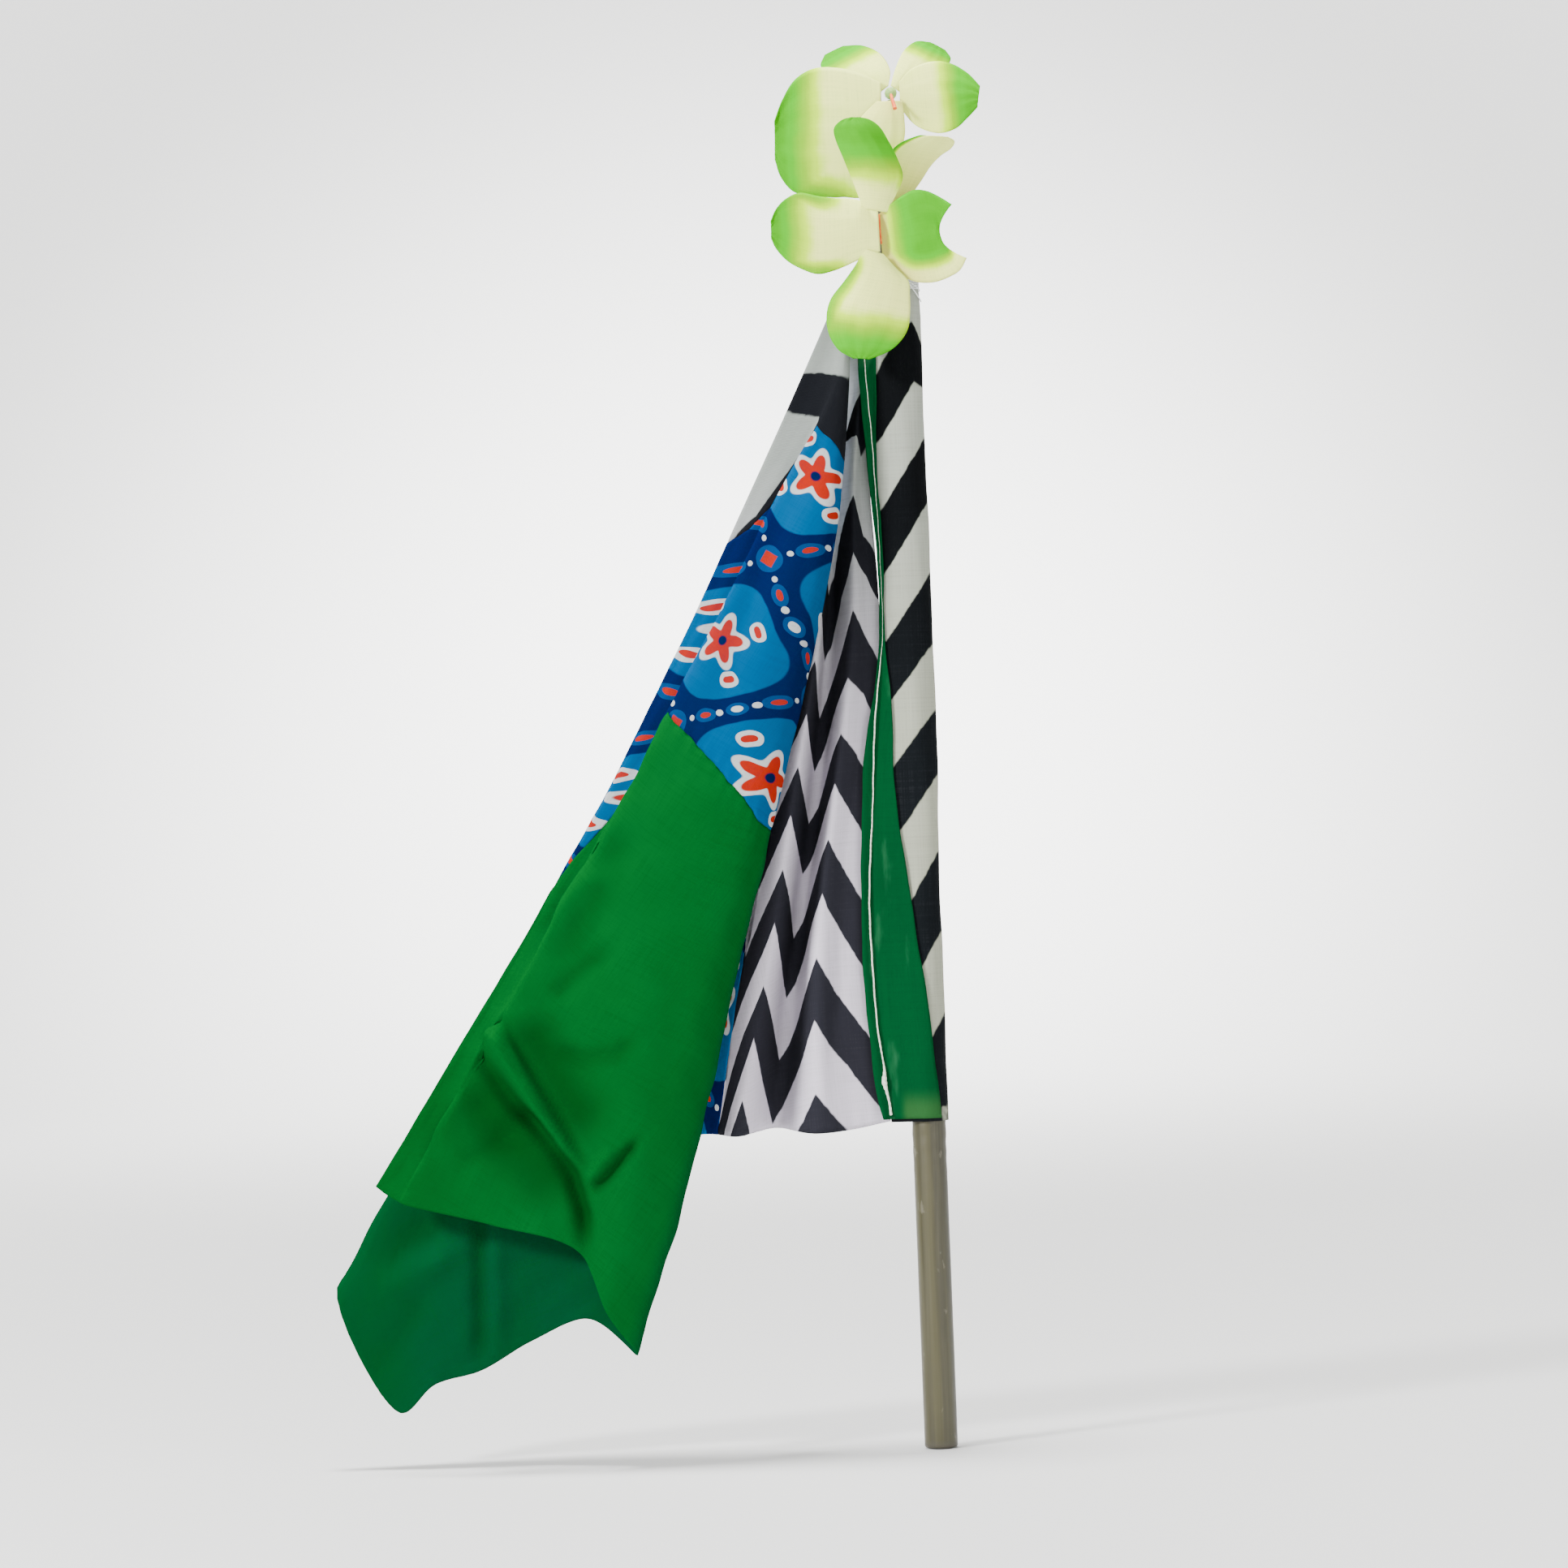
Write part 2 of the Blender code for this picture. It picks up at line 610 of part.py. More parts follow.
def petal_grid(petal, centre):
    """The petal's middle points and normals."""
    tip = np.array([petal.tip[0], -petal.tip[1], petal.tip[2]])
    length = np.linalg.norm(tip)
    along = tip / length
    front = np.array([0.0, -1.0, 0.0])
    side = np.cross(along, front)
    side /= np.linalg.norm(side)
    face = np.cross(side, along)
    roll = math.radians(petal.roll)
    side, face = (
        side * math.cos(roll) + face * math.sin(roll),
        face * math.cos(roll) - side * math.sin(roll),
    )
    grid = []
    for row in range(PETAL_ROWS + 1):
        share = row / PETAL_ROWS
        line = []
        for column in range(PETAL_COLUMNS + 1):
            spread = 2 * column / PETAL_COLUMNS - 1
            half = petal.width / 2 * petal_width(share)
            reach = PETAL_START + (length - PETAL_START) * share
            reach -= length * petal.notch * share**3 * (1 - spread**2)
            rise = petal.bow * math.sin(math.pi * share) + petal.cup * spread**2 * share
            line.append(centre + along * reach + side * half * spread + face * rise)
        grid.append(line)
    return grid


def grid_normals(grid):
    grid = np.array(grid)
    rows_step = np.gradient(grid, axis=0)
    columns_step = np.gradient(grid, axis=1)
    normals = np.cross(columns_step, rows_step)
    return normals / np.linalg.norm(normals, axis=2, keepdims=True)


def make_flower(name, centre, petals, seat, materials):
    """Five petals round a heart, with a calyx behind it that is tied to the stick at the seat."""
    centre = np.array([centre[0], -centre[1], centre[2]])
    for petal in petals:
        grid = petal_grid(petal, centre)
        solid, faces = thick_sheet(grid, grid_normals(grid), PETAL_THICKNESS)
        add_mesh(f"{name}_petal_{petal.name}", solid, turned_outward(solid, faces), materials["petal"])
    heart = []
    for ring in range(HEART_RINGS):
        turn = math.radians(15 + 150 * ring / (HEART_RINGS - 1))
        heart.append((-HEART_RADIUS * math.cos(turn), HEART_RADIUS * math.sin(turn)))
    turned_solid(f"{name}_heart", heart, HEART_SIDES, (0, -1, 0), centre, materials["calyx"])
    seat = np.array([seat[0], -seat[1], seat[2]])
    reach = centre - seat
    length = np.linalg.norm(reach) - HEART_RADIUS - PIECE_GAP
    calyx = ((0.0, CALYX_RADIUS), (length * 0.6, CALYX_RADIUS), (length, CALYX_RADIUS * 0.45))
    turned_solid(f"{name}_calyx", calyx, HEART_SIDES, reach, seat, materials["calyx"])
    stamen_axis = np.array([0.15, -0.75, -0.65])
    stamen_foot = centre + stamen_axis * (HEART_RADIUS + PIECE_GAP + 0.2)
    stamen = (
        (0.0, STAMEN_RADIUS * 0.7),
        (STAMEN_LENGTH * 0.7, STAMEN_RADIUS * 0.8),
        (STAMEN_LENGTH * 0.9, STAMEN_RADIUS * 1.3),
        (STAMEN_LENGTH, STAMEN_RADIUS * 0.5),
    )
    turned_solid(f"{name}_stamen", stamen, 8, stamen_axis, stamen_foot, materials["stamen"])


def build():
    clear_scene()
    materials = make_materials()
    make_stick(materials["stick"])
    make_sleeve(materials["sleeve"])
    make_panels(materials)
    make_facing(materials["facing"])
    make_facing_cord(materials["cord"])
    make_tie_thread(materials["thread"])
    lower_seat = (-2.9, 7.8, LOWER_FLOWER_CENTRE[2])
    upper_seat = (0.0, 0.0, STICK_LENGTH + PIECE_GAP + 1.1)
    make_flower("lower_flower", LOWER_FLOWER_CENTRE, LOWER_PETALS, lower_seat, materials)
    make_flower("upper_flower", UPPER_FLOWER_CENTRE, UPPER_PETALS, upper_seat, materials)


build()
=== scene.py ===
"""The dressed stick flag: fine cloth on the solids' own folds, with its patterns, seams and materials.

The tables are in millimetres and in the solids' frame: Z up the stick from its foot, X to the right. out is
the distance towards the viewer, so Y is minus out.
"""

import math
from collections import namedtuple

import bpy
import numpy as np
from mathutils import Matrix, Vector


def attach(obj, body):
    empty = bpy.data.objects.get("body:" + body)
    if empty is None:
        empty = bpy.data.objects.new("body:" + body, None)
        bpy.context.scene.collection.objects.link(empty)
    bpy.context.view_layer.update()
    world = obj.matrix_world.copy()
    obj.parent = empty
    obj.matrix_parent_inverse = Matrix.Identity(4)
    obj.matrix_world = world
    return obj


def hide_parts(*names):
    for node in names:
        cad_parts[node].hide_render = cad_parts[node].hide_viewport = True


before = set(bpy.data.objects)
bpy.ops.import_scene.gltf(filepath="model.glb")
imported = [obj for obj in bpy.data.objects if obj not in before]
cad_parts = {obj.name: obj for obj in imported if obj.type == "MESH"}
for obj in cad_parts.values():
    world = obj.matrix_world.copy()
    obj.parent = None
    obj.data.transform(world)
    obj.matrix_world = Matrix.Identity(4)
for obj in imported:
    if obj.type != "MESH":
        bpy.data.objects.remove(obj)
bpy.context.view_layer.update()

MM = 0.001

# The sizes shared with the solids.
STICK_RADIUS = 8.0
SLEEVE_RADIUS = 9.5
SLEEVE_TOP = 551.0
GATHER_HEIGHT = 540.0
STATIONS = (0.0, 0.1, 0.2, 0.4, 0.6, 0.8, 1.0)

# The cloth's folds from the stick to the free edge: the height of each one's foot, its X and its out at the
# stations down to there, and how far down it the chevron panel and the print end.
Fold = namedtuple("Fold", "name foot across out chevron_end print_end")
FOLDS = (
    Fold("hoist", 154, (-12, -14, -16, -14, -21, -24, -18), (3, 3, 3, 3, 3, 3, 3), 1, 1),
    Fold("flank", 151, (-13, -17, -20, -20, -30, -38, -36), (3.5, 4, 4, 5, 6, 8, 7), 1, 1),
    Fold("right_crest", 150, (-14.5, -18.5, -23, -27, -39, -50, -53), (4, 5.5, 8, 10, 12, 14, 13), 1, 1),
    Fold("valley_right", 152, (-16, -21, -29, -36, -45, -58, -70), (3, 2.5, -1, -7, -12, -13, -11), 1, 1),
    Fold("valley_left", 152, (-17.5, -23, -31.5, -39, -49, -62, -74),
        (2.8, 2.5, -1, -7, -12, -13, -11), 1, 1),
    Fold("left_crest", 150, (-19, -25, -34, -43, -58, -73, -91), (2.6, 4, 6.5, 9, 11, 12, 11), 1, 1),
    Fold("panel_line", 151, (-20.5, -26.5, -36, -48, -65, -84, -99), (1.8, 3, 4, 5, 6, 7, 6), 1, 1),
    Fold("back_right", 151, (-22, -28.5, -38, -52, -69, -89, -107), (0.2, 1, 1, 2, 2, 2, 2), 0.705, 1),
    Fold("back_middle", 140, (-23.5, -32, -45, -68, -92, -118, -143),
        (-2.5, -3, -5, -8, -9, -10, -9), 0.55, 0.93),
    Fold("back_wide", 115, (-24.5, -37, -56, -88, -122, -155, -190),
        (-5.5, -7, -11, -15, -17, -17, -15), 0.42, 0.8),
    Fold("back_left", 79, (-26, -41, -64, -106, -151, -197, -241),
        (-7, -9.5, -13, -17, -19, -17, -13), 0.34, 0.7),
    Fold("left_turn", 85, (-28, -45, -69, -116, -167, -227, -280),
        (-4.5, -5, -5, -6, -6, -5, -4), 0.28, 0.66),
    Fold("tip", 26, (-26.5, -43, -71, -123, -177, -227, -253), (-2, 0, 2, 4, 5, 4, 2), 0.25, 0.62),
    Fold("inner_left", 39, (-24.5, -39, -67, -118, -167, -209, -236),
        (-0.5, 1.5, 5, 8, 9, 7, 5), 0.23, 0.59),
    Fold("inner_crease", 45, (-23.5, -36, -61, -109, -150, -186, -214),
        (0.8, 3.5, 8, 12, 11, 10, 8), 0.21, 0.57),
    Fold("inner_middle", 58, (-22.5, -31.5, -51, -91, -127, -159, -190),
        (1.8, 5.5, 10, 13, 14, 14, 10), 0.19, 0.55),
    Fold("inner_right", 68, (-22, -28, -39, -66, -98, -130, -162), (4, 8, 12, 16, 18, 20, 17), 0.175, 0.525),
    Fold("right_turn", 51, (-21.5, -25, -31, -54, -82, -108, -140),
        (8, 14, 18, 24, 28, 30, 26), 0.159, 0.505),
    Fold("front_right", 71, (-22, -25.5, -33, -57, -87, -119, -153),
        (11, 19, 26, 34, 39, 41, 35), 0.157, 0.518),
    Fold("front_middle", 101, (-23, -27, -38, -69, -103, -136, -166),
        (12, 20, 28, 37, 42, 42, 33), 0.155, 0.51),
    Fold("front_left", 114, (-24, -28.5, -47, -87, -131, -176, -204),
        (12, 20, 27, 35, 39, 36, 28), 0.15, 0.477),
    Fold("step", 125, (-25, -30.5, -54, -100, -148, -198, -245),
        (11, 19, 25, 31, 34, 32, 25), 0.1445, 0.459),
    Fold("tuck", 127, (-26, -33, -52, -98, -146.5, -199, -249), (10, 16, 20, 25, 29, 30, 24), 0.21, 0.56),
    Fold("under_strip", 130, (-27, -39, -60, -104, -155, -203, -254),
        (9.5, 14, 18, 23, 27, 28, 23), 0.26, 0.64),
    Fold("free_edge", 134, (-28.5, -48, -68, -109, -154, -206, -259),
        (9, 13, 16, 21, 26, 27, 22), 0.278, 0.674),
)
FOLD_NAMES = [fold.name for fold in FOLDS]
LAST_FOLD = len(FOLDS) - 1
PANEL_LINE = FOLD_NAMES.index("panel_line")

# The places, counted in folds, where the print and the plain panel start, and where the chevron's seam has
# left the foot, with how far down it is there.
PRINT_FROM = PANEL_LINE + 0.015
PLAIN_FROM = FOLD_NAMES.index("back_middle") - 0.98
SEAM_LEAVES = PANEL_LINE + 0.12
SEAM_LEAVES_AT = 0.79

# Where the black and white bands change on each fold: the phase of the first height, and then the heights,
# each half a phase after the one before. A whole phase starts black, a half one starts white.
BANDS = {
    "hoist": (-0.5, (474, 418, 398, 369, 342, 314, 284, 252, 220, 186, 155, 126)),
    "flank": (-0.5, (466, 428, 410, 380, 355, 326, 299, 271, 243, 211, 181, 148)),
    "right_crest": (-1.5, (540, 494, 476, 448, 421, 394, 362, 336, 313, 287, 262, 232, 203, 169)),
    "valley_right": (-1.5, (545, 476.5, 475, 410, 377, 354, 329, 302, 278, 249, 220, 191, 161)),
    "valley_left": (-1.5, (545, 477, 476, 402, 371, 344, 319, 295, 271, 241, 213, 184, 154)),
    "left_crest": (-1.5, (545, 478, 477, 418, 395, 371, 346, 322, 299, 274, 249, 220, 196, 167)),
    "panel_line": (-1.5, (545, 478, 477, 401, 377, 350, 322, 294, 265, 234, 199, 156)),
    "back_right": (-1.5, (545, 496, 495, 430, 405, 378, 350, 322, 293, 262, 227, 184)),
    "back_middle": (-0.5, (495, 470, 440, 410, 380, 350, 320)),
    "back_wide": (-0.5, (520, 492, 462, 430, 398, 366)),
    "back_left": (-0.5, (495, 468, 440, 410, 380)),
    "left_turn": (-0.5, (520, 492, 462, 430, 398)),
    "tip": (-0.5, (500, 474, 446, 418)),
    "inner_left": (-0.5, (524, 497, 468, 438)),
    "inner_crease": (-0.5, (508, 484, 458, 430)),
    "inner_middle": (-0.5, (528, 503, 476, 448)),
    "inner_right": (-0.5, (525, 501, 468, 440)),
    "right_turn": (-0.5, (530, 502, 462, 435)),
    "front_right": (-0.5, (530, 502, 456, 430)),
    "front_middle": (-0.5, (530, 502.5, 458, 430)),
    "front_left": (-0.5, (530, 503, 461, 430)),
    "step": (-0.5, (530, 503.5, 462.5, 430)),
    "tuck": (-0.5, (530, 504, 484, 474, 436, 410)),
    "under_strip": (-0.5, (530, 505, 486, 439, 412)),
    "free_edge": (-0.5, (530, 505, 488, 420, 392)),
}

# The same on the sleeve, at its left tip, at its right side and at the peak where the bands turn.
SLEEVE_LEFT = (-0.5, (545, 504, 472, 440, 410, 379, 350, 319, 286, 244, 210, 167, 130))
SLEEVE_RIGHT = (-0.5, (555, 518, 497, 474, 443, 410, 377, 346, 316, 282, 244, 206, 167))
SLEEVE_PEAK = (-0.5, (562, 528, 500, 467, 437, 404, 372, 341, 310, 275, 238, 199, 160))
SLEEVE_PEAK_AT = 6.5

# Creases, each on one layer of a panel, which is a run of its folds. height is how far a
# crease stands out, or sinks where it is negative, and its route is in the front view, as X and Z.
Crease = namedtuple("Crease", "width height route")
Layer = namedtuple("Layer", "panel first last creases")
LAYERS = (
    Layer("plain", 17.6, 21.5, (
        Crease(6.0, 7.5, ((-206, 216), (-198, 200), (-185, 176), (-171, 150), (-160, 136))),
        Crease(3.2, -5.6, ((-201, 217), (-194, 201), (-181, 177), (-167, 151), (-156, 132))),
        Crease(4.6, -4.2, ((-212, 200), (-201, 182), (-190, 166), (-180, 154))),
        Crease(4.0, -7.5, ((-196, 172), (-187, 163), (-177, 152), (-168, 136), (-163, 118), (-162, 98))),
        Crease(15.0, -5.5, ((-214, 186), (-204, 168), (-190, 152), (-178, 138), (-170, 118))),
        Crease(13.0, -5.5, ((-188, 214), (-178, 192), (-166, 170), (-152, 150))),
        Crease(10.0, 3.0, ((-232, 176), (-222, 152), (-206, 130))),
        Crease(7.0, -2.4, ((-226, 132), (-212, 144), (-198, 154), (-186, 162))),
        Crease(2.8, -4.2, ((-159, 128), (-152, 134), (-144, 143), (-134, 153))),
        Crease(3.4, 2.4, ((-162, 134), (-154, 141), (-146, 150))),
        Crease(4.5, -2.2, ((-176, 196), (-160, 190), (-144, 192), (-130, 200))),
        Crease(4.5, -2.0, ((-175, 218), (-159, 231), (-143, 243))),
        Crease(7.0, 2.4, ((-190, 240), (-166, 262), (-140, 280))),
        Crease(5.0, -3.0, ((-213, 212), (-205, 207), (-196, 209))),
        Crease(9.0, 1.8, ((-246, 130), (-232, 158), (-216, 188))),
        Crease(8.0, -2.2, ((-134, 300), (-150, 268), (-172, 230))),
    )),
    Layer("plain", 17.6, 20.0, (
        Crease(10.0, -1.2, ((-110, 238), (-118, 200), (-126, 160), (-138, 100))),
    )),
    Layer("plain", 11.6, 16.5, (
        Crease(4.0, -3.4, ((-211, 125), (-212, 112), (-213, 80), (-214, 44))),
        Crease(5.0, 2.0, ((-204, 120), (-205, 85), (-206, 50))),
        Crease(7.0, -3.4, ((-272, 92), (-250, 106), (-227, 118))),
        Crease(6.0, 1.8, ((-262, 78), (-240, 92), (-222, 100))),
        Crease(6.0, -1.6, ((-270, 40), (-252, 62), (-236, 84))),
    )),
    Layer("plain", 7.6, 11.4, (
        Crease(8.0, -2.0, ((-150, 250), (-172, 200), (-200, 140), (-222, 96))),
        Crease(6.0, 1.6, ((-135, 240), (-155, 190), (-178, 140), (-196, 112))),
    )),
    Layer("print", 17.6, 21.5, (
        Crease(6.0, -0.9, ((-52, 456), (-66, 420), (-84, 372), (-96, 330))),
        Crease(8.0, 0.8, ((-50, 440), (-60, 400), (-72, 352), (-82, 320))),
    )),
    Layer("print", 7.2, 11.0, (
        Crease(7.0, -1.3, ((-66, 420), (-90, 350), (-120, 280), (-150, 220))),
    )),
    Layer("chevron", 1.2, 3.2, (
        Crease(1.8, 0.8, ((-28, 424), (-32, 410), (-31, 396))),
    )),
    Layer("chevron", 4.2, 6.0, (
        Crease(3.0, -0.8, ((-70, 250), (-80, 200), (-94, 156))),
    )),
    Layer("chevron", 0.2, 2.5, (
        Crease(4.0, -0.8, ((-38, 230), (-44, 190), (-44, 152))),
    )),
)

CLOTH_THICKNESS = 0.5
PUCKER_HEIGHT = 0.22
PUCKER_SPACING = 7.0
PUCKER_REACH = 5.0
SEAM_DIP = 0.3
SEAM_WIDTH = 1.2
HEM_WIDTH = 7.0
HEM_FALL = 4.0
HEM_STEP = 0.18
HEM_SWELL = 0.25
# The sink, in millimetres, at which the painted shade in a crease's bottom is full.
CREASE_SHADE_DEPTH = 6.0
LAYER_FADE = 0.4

STICK_LENGTH = 609.0
STICK_BEVEL = 1.2
STICK_SIDES = 64

# How many places each fold is cut into: more where the layer has creases and can be seen.
Fineness = namedtuple("Fineness", "first last steps")
FINENESS = (
    Fineness(0, 7, 12),
    Fineness(7, 11.5, 8),
    Fineness(11.5, 17, 12),
    Fineness(17, 21.5, 22),
    Fineness(21.5, 24, 8),
)

# The spacing of the threads in the weaves, in metres.
WEAVE_PITCH = 0.0006
PRINT_PITCH = 0.00055
PETAL_PITCH = 0.0007

PRINT_REPEAT_ACROSS = 0.044
PRINT_REPEAT_DOWN = 0.058
PRINT_START_DOWN = 0.020
PRINT_BLUE = (0.0003, 0.063, 0.170)
PRINT_NAVY = (0.001, 0.004, 0.045)
PRINT_MIDDLE = (0.0003, 0.034, 0.125)
PRINT_WHITE = (0.40, 0.42, 0.42)
PRINT_ORANGE = (0.31, 0.012, 0.0002)
PETAL_CREAM = (0.80, 0.86, 0.24)
# The next colour is the tan of the shade painted at the petals' feet.
PETAL_FOOT_SHADE = (0.50, 0.43, 0.10)
PETAL_PALE = (0.50, 0.76, 0.004)
PETAL_YELLOW = (0.23, 0.46, 0.0003)
PETAL_LIME = (0.052, 0.37, 0.0001)
PETAL_DEEP = (0.040, 0.26, 0.0001)

# The view: what the photo's frame spans at the flag, its middle as X and Z, and the stick's lean in it.
VIEW_WIDTH = 736.1
VIEW_CENTRE = (-61.7, 313.9)
STICK_LEAN = 2.24
CAMERA_LENS = 135.0
CAMERA_SENSOR = 36.0

WORLD_LIGHT = 0.30
LIGHT_AIM = (-0.1, 0.0, 0.33)
Light = namedtuple("Light", "name place size power")
LIGHTS = (
    Light("key", (-2.3, -1.9, 1.7), 0.6, 205.0),
    Light("fill", (1.7, -2.3, 0.9), 1.8, 26.0),
    Light("top", (-0.1, 0.0, 2.8), 0.5, 190.0),
    Light("back", (-0.6, 2.8, 1.6), 1.8, 20.0),
)

# The studio's paper: a flat disc that bends up into a wall, with a glow that grows outwards and a halo behind
# the flag. The halo's centre is in metres.
STAGE_REACH = 3500.0
STAGE_BEND = 2500.0
STAGE_DROP = 0.4
STAGE_SIDES = 96
BACKDROP_GLOW = 1.3
HALO_GLOW = 4.2
HALO_CENTRE = (-0.07, 4.9, 0.40)
HALO_DEPTH = 0.35

SAMPLES = 400


def hermite(stations, values, where):
    """A smooth curve through values at the stations, read at where."""
    stations = np.asarray(stations, float)
    values = np.asarray(values, float)
    slopes = np.gradient(values, stations)
    where = np.clip(where, stations[0], stations[-1])
    index = np.clip(np.searchsorted(stations, where, side="right") - 1, 0, len(stations) - 2)
    span = stations[index + 1] - stations[index]
    u = (where - stations[index]) / span
    start = (1 + 2 * u) * (1 - u) ** 2
    start_slope = u * (1 - u) ** 2
    end = u**2 * (3 - 2 * u)
    end_slope = u**2 * (u - 1)
    return (
        start * values[index]
        + start_slope * span * slopes[index]
        + end * values[index + 1]
        + end_slope * span * slopes[index + 1]
    )


def smooth(low, high, value):
    """0 below low, 1 above high and an even S between."""
    share = np.clip((value - low) / (high - low), 0, 1)
    return share * share * (3 - 2 * share)


def fold_lines():
    """Each fold as a finely cut line from the gather to its foot."""
    down = np.linspace(0, 1, SAMPLES + 1)
    lines = []
    for fold in FOLDS:
        height = GATHER_HEIGHT + (fold.foot - GATHER_HEIGHT) * down
        across = hermite(STATIONS, fold.across, down)
        out = hermite(STATIONS, fold.out, down)
        lines.append(np.stack([across, -out, height], axis=1))
    return np.array(lines)


LINES = fold_lines()


def fold_points(index, down):
    """Points on whole folds, each at its fraction down."""
    index = np.clip(index, 0, LAST_FOLD)
    place = np.clip(down, 0, 1) * SAMPLES
    low = np.minimum(place.astype(int), SAMPLES - 1)
    share = (place - low)[..., None]
    return LINES[index, low] * (1 - share) + LINES[index, low + 1] * share


def cloth_points(across, down):
    """The cloth's middle surface: a centripetal Catmull-Rom curve through the folds at each fraction down."""
    index = np.minimum(across.astype(int), LAST_FOLD - 1)
    share = (across - index)[..., None]
    near = [fold_points(index + step, down) for step in (-1, 0, 1, 2)]
    near[0] = np.where((index == 0)[..., None], 2 * near[1] - near[2], near[0])
    near[3] = np.where((index == LAST_FOLD - 1)[..., None], 2 * near[2] - near[1], near[3])
    knots = [np.zeros(share.shape)]
    for first, second in zip(near, near[1:]):
        length = np.linalg.norm(second - first, axis=-1, keepdims=True)
        knots.append(knots[-1] + np.maximum(length, 1e-6) ** 0.5)
    at = knots[1] + share * (knots[2] - knots[1])

    def blend(low, high, first, second):
        return ((high - at) * first + (at - low) * second) / (high - low)

    layer = [blend(knots[i], knots[i + 1], near[i], near[i + 1]) for i in range(3)]
    layer = [blend(knots[i], knots[i + 2], layer[i], layer[i + 1]) for i in range(2)]
    return blend(knots[1], knots[2], layer[0], layer[1])


def top_edge(across):
    return np.zeros(np.shape(across))


def foot_edge(across):
    return np.ones(np.shape(across))


def chevron_seam(across):
    """How far down each fold the chevron panel ends."""
    places = list(range(len(FOLDS)))
    ends = [fold.chevron_end for fold in FOLDS]
    places.insert(PANEL_LINE + 1, SEAM_LEAVES)
    ends.insert(PANEL_LINE + 1, SEAM_LEAVES_AT)
    return np.interp(across, places, ends)


def print_seam(across):
    return np.interp(across, range(len(FOLDS)), [fold.print_end for fold in FOLDS])


# The three panels between their edges. flat is the size that each was cut to, in metres.
Panel = namedtuple("Panel", "kind first top bottom seams rows wave_height flat")
PANELS = (
    Panel("chevron", 0, top_edge, chevron_seam, (chevron_seam,), 150, 0.55, (0.115, 0.381)),
    Panel("print", PRINT_FROM, chevron_seam, print_seam, (chevron_seam, print_seam), 120, 0.7, (0.11, 0.381)),
    Panel("plain", PLAIN_FROM, print_seam, foot_edge, (print_seam,), 180, 1.3, (0.18, 0.381)),
)


def flat_turns():
    """The flat cloth's angle about the gather and its length there, at places from the stick's edge round."""
    places = np.linspace(0, LAST_FOLD, LAST_FOLD * 8 + 1)
    downs = np.linspace(0, 1, 41)
    grid = cloth_points(np.repeat(places[None], 41, axis=0), np.repeat(downs[:, None], len(places), axis=1))
    radius = np.linalg.norm(np.diff(grid, axis=0), axis=2).sum(axis=0)
    step = np.diff(grid[-1], axis=0)
    along = grid[-1] - grid[-4]
    along = (along / np.linalg.norm(along, axis=1, keepdims=True))[:-1]
    wide = np.linalg.norm(np.cross(step, along), axis=1) / ((radius[1:] + radius[:-1]) / 2)
    turns = np.concatenate([[0], np.cumsum(wide)])
    return places, turns * (math.pi / 2) / turns[-1], radius


FLAT_PLACES, FLAT_TURNS, FLAT_RADII = flat_turns()


def flat_coordinates(across, down):
    """Where points of the cloth lie when it is spread out, from its top corner at the stick."""
    turn = np.interp(across, FLAT_PLACES, FLAT_TURNS)
    radius = np.interp(across, FLAT_PLACES, FLAT_RADII) * down
    return np.stack([radius * np.sin(turn), radius * np.cos(turn)], axis=-1)


def table_phase(table, height):
    """The phase at a height in one row of bands, held at its ends."""
    first, heights = table
    heights = np.array(heights, float)
    return np.interp(-height, -heights, first + 0.5 * np.arange(len(heights)))


def band_phase(across, height):
    """The chevron's phase: where its whole part changes a black band starts, and a white one half-way."""
    columns = []
    for fold in FOLDS:
        first, heights = BANDS[fold.name]
        above = first - (height - heights[0]) / (2 * (heights[0] - heights[1]))
        last = first + 0.5 * (len(heights) - 1)
        below = last + (heights[-1] - height) / (2 * (heights[-2] - heights[-1]))
        inside = table_phase(BANDS[fold.name], height)
        columns.append(np.where(height > heights[0], above, np.where(height < heights[-1], below, inside)))
    columns = np.array(columns)
    index = np.minimum(across.astype(int), LAST_FOLD - 1)
    share = across - index
    rows, places = np.indices(across.shape)
    return columns[index, rows, places] * (1 - share) + columns[index + 1, rows, places] * share


def route_distance(route, x, z):
    """How far each point is from a route in the front view, and how far along the route, from 0 to 1."""
    route = np.array(route, float)
    lengths = np.linalg.norm(np.diff(route, axis=0), axis=1)
    total = lengths.sum()
    best = np.full(x.shape, 1e9)
    along = np.zeros(x.shape)
    start = 0.0
    for first, second, length in zip(route, route[1:], lengths):
        way = (second - first) / length
        run = (x - first[0]) * way[0] + (z - first[1]) * way[1]
        held = np.clip(run, 0, length)
        away = np.hypot(x - first[0] - way[0] * held, z - first[1] - way[1] * held)
        nearer = away < best
        best = np.where(nearer, away, best)
        along = np.where(nearer, (start + held) / total, along)
        start += length
    return best, along


def crease_lift(panel, across, x, z):
    """How far its creases lift a panel, each faded out at the ends of its route and at its layer's edges."""
    lift = np.zeros(x.shape)
    for layer in LAYERS:
        if layer.panel != panel:
            continue
        inside = smooth(layer.first - LAYER_FADE, layer.first, across)
        inside *= smooth(-layer.last - LAYER_FADE, -layer.last, -across)
        for crease in layer.creases:
            away, along = route_distance(crease.route, x, z)
            ends = smooth(0, 0.22, along) * smooth(0, 0.25, 1 - along)
            lift += crease.height * np.exp(-((away / crease.width) ** 2)) * (0.15 + 0.85 * ends) * inside
    return lift


